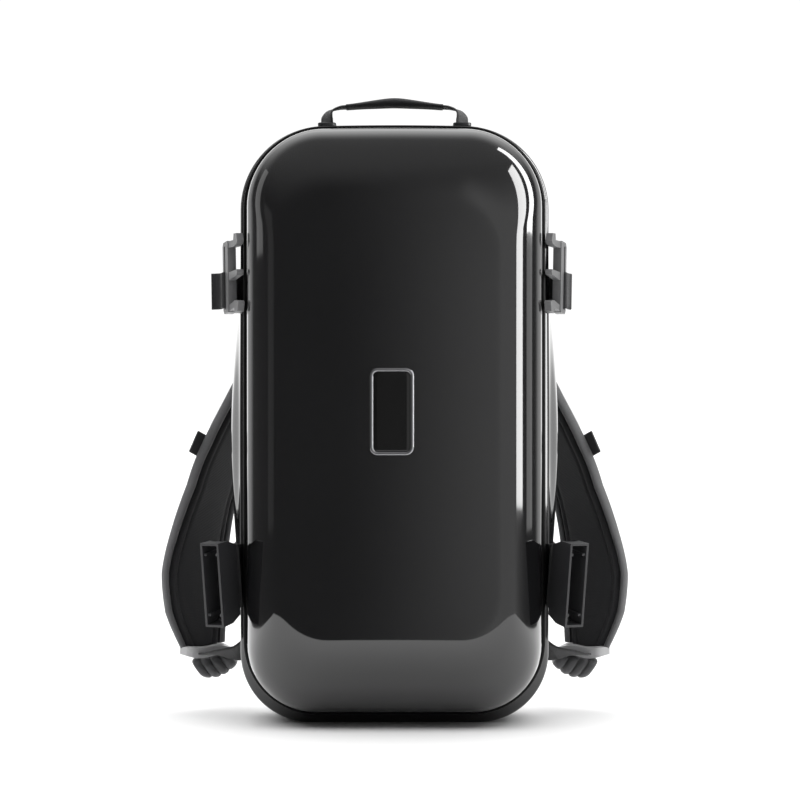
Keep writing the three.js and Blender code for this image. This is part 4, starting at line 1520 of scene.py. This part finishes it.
@dataclass(frozen=True)
class Adjusters:
    """The strap adjusters, the webbing to the pad and the rolled-up spare length."""

    long: float = 26.0
    thick: float = 6.0
    edge: float = 0.9
    cuts: int = 24
    wave: float = 0.9
    wave_turns: float = 3.1
    wave_start: float = 0.15
    rise: float = 1.6
    lift: float = 0.7
    taper: tuple[float, float] = (0.8, 1.5)
    web_wide: float = 25.0
    web: float = 1.5
    turn: float = 25.0
    shift: float = 3.0
    setback: float = 0.2
    drop: float = 2.6
    lead: float = 4.0
    bend: float = 7.0
    foot_wide: float = 1.05
    foot_thick: float = 3.2
    tab_level: float = 62.0
    tab_inset: float = 20.0

    def _at(self) -> Vector:
        """Places the left adjuster under its strap's foot.

        Returns:
            Its middle.
        """
        foot = STRAPS.run().frame(1.0).at
        level = STRAPS.foot - self.thick / 2 - GAP - self.drop
        return Vector((foot.x + self.shift, foot.y - self.long * self.setback, level))

    def _wavy(self, node: str) -> bmesh.types.BMesh:
        """Copies an adjuster and gives its plate a wave that thins towards its ends.

        Args:
            node: The adjuster's node.

        Returns:
            The mesh.
        """
        plate = cad_copy(node)
        xs = [vert.co.x for vert in plate.verts]
        low, high = min(xs), max(xs)
        for i in range(1, self.cuts):
            bmesh.ops.bisect_plane(plate, geom=[*plate.verts, *plate.edges, *plate.faces],
                                   plane_co=(mix(low, high, i / self.cuts), 0, 0), plane_no=(1, 0, 0))
        middle = sum(vert.co.z for vert in plate.verts) / len(plate.verts)
        for vert in plate.verts:
            share = (vert.co.x - low) / (high - low)
            if low > 0:
                share = 1 - share
            wave = self.wave * math.sin((share * self.wave_turns + self.wave_start) * math.pi)
            taper = mix(*self.taper, math.sin(math.pi * min(max(share, 0.0), 1.0)) ** 0.6)
            lift = wave + self.rise * share + self.lift
            vert.co.z = middle + (vert.co.z - middle) * taper + lift * MM
        return plate

    def _webbing(self, at: Vector) -> Run:
        """Gives the path of the webbing from the left adjuster to the pad's lower corner.

        Args:
            at: The adjuster's middle.

        Returns:
            The path.
        """
        c, s = polar(self.turn)
        across, forward = Vector((c, s, 0)), Vector((s, -c, 0))
        start = at + forward * (self.long / 2 + GAP + 0.2)
        past = start + forward * self.lead
        seat = PAD.back + GAP + self.web / 2
        edge = -PAD.half

        def between(out: float, y: float, down: float) -> Vector:
            """Gives a place between the adjuster and the pad's edge."""
            return Vector((mix(past.x, edge, out), y, mix(past.z, self.tab_level, down)))

        upright = Vector((0.2, 0, -1))
        rows = [
            (start, across), (past, across),
            (past + Vector((self.bend, 1 - self.bend, 0)), Vector((0.45, 0.75, -0.3))),
            (between(0.4, past.y - self.bend - 1, 0.15), Vector((0.1, 0.9, -0.4))),
            (between(0.75, mix(past.y, seat, 0.3), 0.5), Vector((0.1, 0.4, -0.8))),
            (between(1.0, seat + 0.6, 0.9) + Vector((1, 0, 0)), upright),
            (Vector((edge + PAD.edge_round + self.lead, seat, self.tab_level)), upright),
            (Vector((edge + self.tab_inset, seat, self.tab_level)), upright),
        ]
        return Run([Station(place, wide, self.web_wide, self.web) for place, wide in rows])

    def _foot(self, at: Vector) -> Run:
        """Gives the path of the short webbing between the left strap's foot and its adjuster.

        Args:
            at: The adjuster's middle.

        Returns:
            The path.
        """
        path = STRAPS.run()
        across = path.frame(0.99).across
        places = [*(path.frame(share).at for share in (0.93, 0.97, 1.0)), at + Vector((0, 0, 1.0))]
        wide = self.web_wide * self.foot_wide
        return Run([Station(place, across, wide, self.foot_thick) for place in places])

    def build(self) -> None:
        """Builds the parts below both shoulder straps."""
        at = self._at()
        web = self._webbing(at).rings(70, tape_section)
        foot = self._foot(at).rings(20, tape_section)
        for side in Side:
            node = f"strap_adjuster_{side.label}"
            # The adjuster plates take the light grey finish, which is painted highlight.
            show_moulded(f"{node}_plate", node, self._wavy(node), ADJUSTER_PAINTED_HIGHLIGHT, self.edge, 50.0)
            show_loft(f"strap_foot_web_{side.label}", on_side(foot, side), WEBBING)
            node = f"lower_webbing_{side.label}"
            show_loft(f"{node}_web", on_side(web, side), WEBBING, node)
            node = f"webbing_roll_{side.label}"
            show(f"{node}_web", Bundle().mesh(at, side, self.web_wide), BINDING, node)


# The side buckles


@dataclass(frozen=True)
class Buckle:
    """One half of a side buckle: where it sits and which bar its strap goes round."""

    out: float
    y: float
    level: float
    splay: float
    droop: float
    base_long: float
    tail_thick: float
    bar: float = 5.0

    def matrix(self) -> Matrix:
        """Gives the left buckle half's place.

        Returns:
            The matrix, in millimetres.
        """
        splay = Matrix.Rotation(math.radians(-90 - self.splay), 4, "Z")
        droop = Matrix.Rotation(math.radians(self.droop), 4, "Y")
        return Matrix.Translation((-self.out, self.y, self.level)) @ (splay @ droop)


SOCKET = Buckle(146.8, -30.0, 115.4, 27.0, 8.0, 38.0, 6.5)
PLUG = Buckle(133.1, 19.0, 366.0, -15.0, -4.5, 20.0, 7.0)


@dataclass(frozen=True)
class SideStraps:
    """The flank straps and the open buckle halves on their ends.

    Each row of the tail is a distance along the webbing and a share of its reach away from the buckle.
    """

    thick: float = 1.8
    slack: float = 0.5
    play: float = 0.1
    lower_wide: float = 50.0
    upper_wide: float = 30.0
    upper_drop: float = 10.0
    upper_end: float = 0.62
    lower_lead: float = 12.0
    upper_lead: float = 12.0
    lead_stand: float = 1.5
    tail_lead: float = 7.0
    tail: tuple = ((2, 0.15), (4, 0.5), (5, 1))
    tail_left: float = 7.5
    tail_right: float = 2.0
    edge: float = 0.45

    def _against(self, y: float, level: float, wide: float) -> tuple[float, Vector]:
        """Lays a strap's middle against the flank.

        Args:
            y: Depth behind the seam.
            level: Height of its middle.
            wide: Its width.

        Returns:
            Its distance from the middle line and the width's direction.
        """
        high, low = REAR.flank_at(y, level + wide / 2), REAR.flank_at(y, level - wide / 2)
        across = Vector((-(high - low) / wide, 0, 1)).normalized()
        bow = max(REAR.flank_at(y, level) - (high + low) / 2, 0.0)
        return (high + low) / 2 + bow + GAP + self.thick / 2, across

    def _stretch(self, level: float, wide: float, forward: float) -> list[Station]:
        """Lays a strap round the back's rounding and forward along the left flank.

        Args:
            level: Height of its middle.
            wide: Its width.
            forward: Depth at which it leaves the flank.

        Returns:
            Its stations.
        """
        start = REAR.front + REAR.depth - REAR.edge_round
        out, across = self._against(start, level, wide)
        middle = out - self.thick / 2 - GAP - REAR.edge_round
        reach = REAR.edge_round + (GAP + self.thick / 2 + 0.15)
        rows = []
        for c, s in map(polar, (68, 51, 34, 17)):
            at = Vector((-(middle + reach * c + self.play), start + reach * s, level))
            rows.append(Station(at, across, wide, self.thick))
        for share in (0.0, 0.33, 0.66, 1.0):
            y = mix(start, forward, share)
            place, lean = self._against(y, level, wide)
            rows.append(Station(Vector((-(place + self.slack), y, level)), lean, wide, self.thick))
        return rows

    def _row(self, place: Matrix, wide: float, along: float, out: float, level: float) -> Station:
        """Gives a station in a buckle half's own directions.

        Args:
            place: The buckle half's place.
            wide: The strap's width.
            along: Distance towards the buckle's mouth.
            out: Distance out of its face.
            level: Distance up.

        Returns:
            The station.
        """
        across = (place.to_3x3() @ Vector((0, 0, 1))).normalized()
        return Station(place @ Vector((along, out, level)), across, wide, self.thick)

    def _loop(self, buckle: Buckle, level: float, wide: float, side: float) -> list[Station]:
        """Takes a strap round a buckle's bar.

        Args:
            buckle: The buckle half.
            level: Height of the strap's middle from the buckle's.
            wide: The strap's width.
            side: 1 if it comes in on the buckle's face, and -1 if on its back.

        Returns:
            Its stations.
        """
        place, half = buckle.matrix(), buckle.tail_thick / 2
        around = GAP + self.thick / 2 + self.play
        end = -buckle.base_long
        bar = end + buckle.bar
        turn = math.sqrt(0.5) * around
        rows = [(end, half + around), (bar, half + around), (bar + turn, half + turn), (bar + around, half),
                (bar + around, -half), (bar + turn, -half - turn), (bar, -half - around),
                (end + 0.5, -half - around)]
        return [self._row(place, wide, along, side * out, level) for along, out in rows]

    def _lower(self) -> Run:
        """Gives the path of the left flank's lower strap.

        Returns:
            The path.
        """
        rise = SOCKET.base_long * math.sin(math.radians(SOCKET.droop))
        wide, leaves = self.lower_wide, REAR.front + REAR.flare_depth + self.lower_lead
        rows = self._stretch(SOCKET.level + rise, wide, leaves)
        rows.append(self._row(SOCKET.matrix(), wide, -SOCKET.base_long - self.tail_lead,
                              -SOCKET.tail_thick / 2 - GAP, 0.0))
        return Run(rows + self._loop(SOCKET, 0.0, wide, -1.0))

    def _upper(self, reach: float) -> Run:
        """Gives the path of an upper strap, on the left flank.

        Args:
            reach: How far its free end stands away from the buckle.

        Returns:
            The path.
        """
        place, wide, drop = PLUG.matrix(), self.upper_wide, self.upper_drop
        off = PLUG.tail_thick / 2 + GAP + self.thick / 2 + self.play
        level = (place @ Vector((-PLUG.base_long, 0, -drop))).z
        rows = self._stretch(level, wide, REAR.front + REAR.depth * self.upper_end)
        rows.append(self._row(place, wide, -PLUG.base_long - self.upper_lead, off + self.lead_stand, -drop))
        rows += self._loop(PLUG, -drop, wide, 1.0)
        for along, share in self.tail:
            rows.append(self._row(place, wide, -PLUG.base_long - along, -off - reach * share, -drop))
        return Run(rows)

    def build(self) -> None:
        """Builds the straps and buckles of both flanks."""
        for side in Side:
            reach = self.tail_left if side is Side.LEFT else self.tail_right
            for kind, path in (("lower", self._lower()), ("upper", self._upper(reach))):
                node = f"{kind}_strap_{side.label}"
                rings = path.rings(6 * (len(path.stations) - 1), tape_section)
                show_loft(f"{node}_web", on_side(rings, side), WEBBING, node)
            # The clip halves take the lighter finish, whose extra grey is painted highlight.
            for kind, finish in (("socket", MOULDING), ("clip", CLIP_PAINTED_HIGHLIGHT)):
                node = f"{kind}_buckle_{side.label}"
                show_moulded(f"{node}_body", node, cad_copy(node), finish, self.edge)


# The studio


@dataclass(frozen=True)
class Sheet:
    """One sheet of the floor, by its edges in metres."""

    name: str
    xs: tuple[float, float]
    ys: tuple[float, float]
    glossy: bool = False
    level: float = -0.0002

    def _paper(self, graph: Graph) -> dict:
        """Gives the paper's look.

        Args:
            graph: The material's graph.

        Returns:
            The shader's inputs by name.
        """
        clouds = graph.noise(graph.coordinate("Object"), 3.0, 2.0)
        tone = graph.shade((0.84, 0.84, 0.84), (0.86, 0.86, 0.86), clouds)
        return {"Base Color": tone, "Roughness": 0.9, "Specular IOR Level": 0.1}

    def build(self) -> None:
        """Builds the sheet."""
        (x0, x1), (y0, y1) = self.xs, self.ys
        mesh = bmesh.new()
        bmesh.ops.create_grid(mesh, x_segments=2, y_segments=2, size=1.0)
        bmesh.ops.scale(mesh, verts=mesh.verts, vec=((x1 - x0) / 2, (y1 - y0) / 2, 1.0))
        bmesh.ops.translate(mesh, verts=mesh.verts, vec=((x0 + x1) / 2, (y0 + y1) / 2, self.level))
        data = written(self.name, mesh)
        data.materials.append(surface(f"{self.name}_paper", self._paper))
        floor = placed(self.name, data)
        floor.visible_glossy = self.glossy
        floor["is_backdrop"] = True


@dataclass(frozen=True)
class SoftBox:
    """An upright light beside the part, which only its gloss shows."""

    name: str
    x: float
    y: float
    wide: float
    low: float
    high: float
    light: float

    def build(self) -> None:
        """Builds the light, turned to the part."""
        lamp = bpy.data.lights.new(self.name, "AREA")
        lamp.shape = "RECTANGLE"
        lamp.size, lamp.size_y = self.wide, self.high - self.low
        lamp.energy = self.light * math.pi * self.wide * (self.high - self.low)
        made = placed(self.name, lamp)
        made.location = (self.x, self.y, (self.low + self.high) / 2)
        made.rotation_euler = Vector((-self.x, 0, 0)).to_track_quat("-Z", "Y").to_euler()
        made.visible_camera = False
        made.visible_diffuse = False


@dataclass(frozen=True)
class Studio:
    """Floor, soft lights, surroundings and camera.

    Only the sheet under and behind the part shows in its gloss, which takes the rest from the surroundings.
    """

    distance: float = 2.6
    lens: float = 143.8
    height: float = 0.2646
    across: float = 0.00447
    sky: float = 4.3
    sky_spread: float = 110.0
    sky_lean: float = -8.0
    paper: float = 1.05
    dimmest: float = 0.09
    sheets: tuple[Sheet, ...] = (
        Sheet("studio_floor", (-1.0, 1.0), (-0.48, 30.0), glossy=True),
        Sheet("studio_apron", (-30.0, 30.0), (-30.0, -0.48)),
        Sheet("studio_left", (-30.0, -1.0), (-0.48, 30.0)),
        Sheet("studio_right", (1.0, 30.0), (-0.48, 30.0)),
    )
    boxes: tuple[SoftBox, ...] = (
        SoftBox("right_box", 1.5, -0.235, 0.46, 0.13, 1.9, 8.0),
        SoftBox("right_rear_box", 1.5, 0.39, 0.36, 0.48, 3.0, 9.0),
        SoftBox("right_low_box", 1.5, 0.39, 0.36, 0.1, 0.48, 0.8),
        SoftBox("left_box", -1.5, -0.35, 0.5, 0.1, 0.9, 0.12),
        SoftBox("left_rear_box", -1.5, 0.37, 0.4, 0.45, 1.5, 0.65),
    )

    def build(self) -> None:
        """Builds the whole studio."""
        for sheet in self.sheets:
            sheet.build()
        self._world()
        for box in self.boxes:
            box.build()
        self._sky()
        self._camera()

    def _sky(self) -> None:
        """Builds the broad light from above, which gives the soft shadow."""
        lamp = bpy.data.lights.new("sky_fill", "SUN")
        lamp.energy = self.sky
        lamp.angle = math.radians(self.sky_spread)
        made = placed("sky_fill", lamp)
        made.rotation_euler = (math.radians(self.sky_lean), 0, 0)
        made.visible_glossy = False

    def _world(self) -> None:
        """Builds the surroundings: white paper to the camera, and soft light by direction to all else."""
        world = bpy.data.worlds.new("studio")
        world.use_nodes = True
        bpy.context.scene.world = world
        graph = Graph(world.node_tree)
        x, y, z = graph.parts(graph.coordinate("Generated"))
        behind = y.smooth(0.56, 0.74) * 0.45 + y.smooth(0.86, 0.97) * 0.75
        above = z.smooth(0.35, 0.95) * (y.smooth(0.1, 0.6) * 1.2 + 0.24)
        front = x.smooth(-0.08, 0.21) * 0.55 * (1 - y.smooth(-0.5, 0.3)) * (1 - z.absolute().smooth(0.3, 0.8))
        light, paper = (
            graph.value("ShaderNodeBackground", None, {"Color": (1, 1, 1, 1), "Strength": strength})
            for strength in (behind + above + front + self.dimmest, self.paper))
        seen = graph.value("ShaderNodeLightPath", output="Is Camera Ray")
        both = graph.value("ShaderNodeMixShader", None, {0: seen, 1: light, 2: paper})
        graph.node("ShaderNodeOutputWorld", None, {"Surface": both})

    def _camera(self) -> None:
        """Builds the camera at the photograph's distance, height and angle."""
        data = bpy.data.cameras.new("studio_camera")
        data.lens = self.lens
        data.sensor_width = 36.0
        data.clip_end = 60.0
        made = placed("studio_camera", data)
        made.location = (self.across, SEAM_Y * MM - self.distance, self.height)
        made.rotation_euler = (math.radians(90), 0, 0)
        bpy.context.scene.camera = made
        bpy.context.scene.view_settings.view_transform = "Standard"


def write_sizes() -> None:
    """Works out the boxes of the CAD frame and of the finished model as plain lists, and writes nothing."""
    plain = [[list(map(float, corner)) for corner in box] for box in (CAD_BOUNDS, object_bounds())]


def main() -> None:
    """Builds the backpack in the order that it is put together."""
    logging.basicConfig(level=logging.INFO, format="%(name)s: %(message)s")
    for part in (FrontShell(), Zip(), REAR, Badge(), Handle(), PAD, STRAPS, Adjusters(), SideStraps(),
                 Studio()):
        log.info("building %s", type(part).__name__)
        part.build()
    write_sizes()


if __name__ == "__main__":
    main()
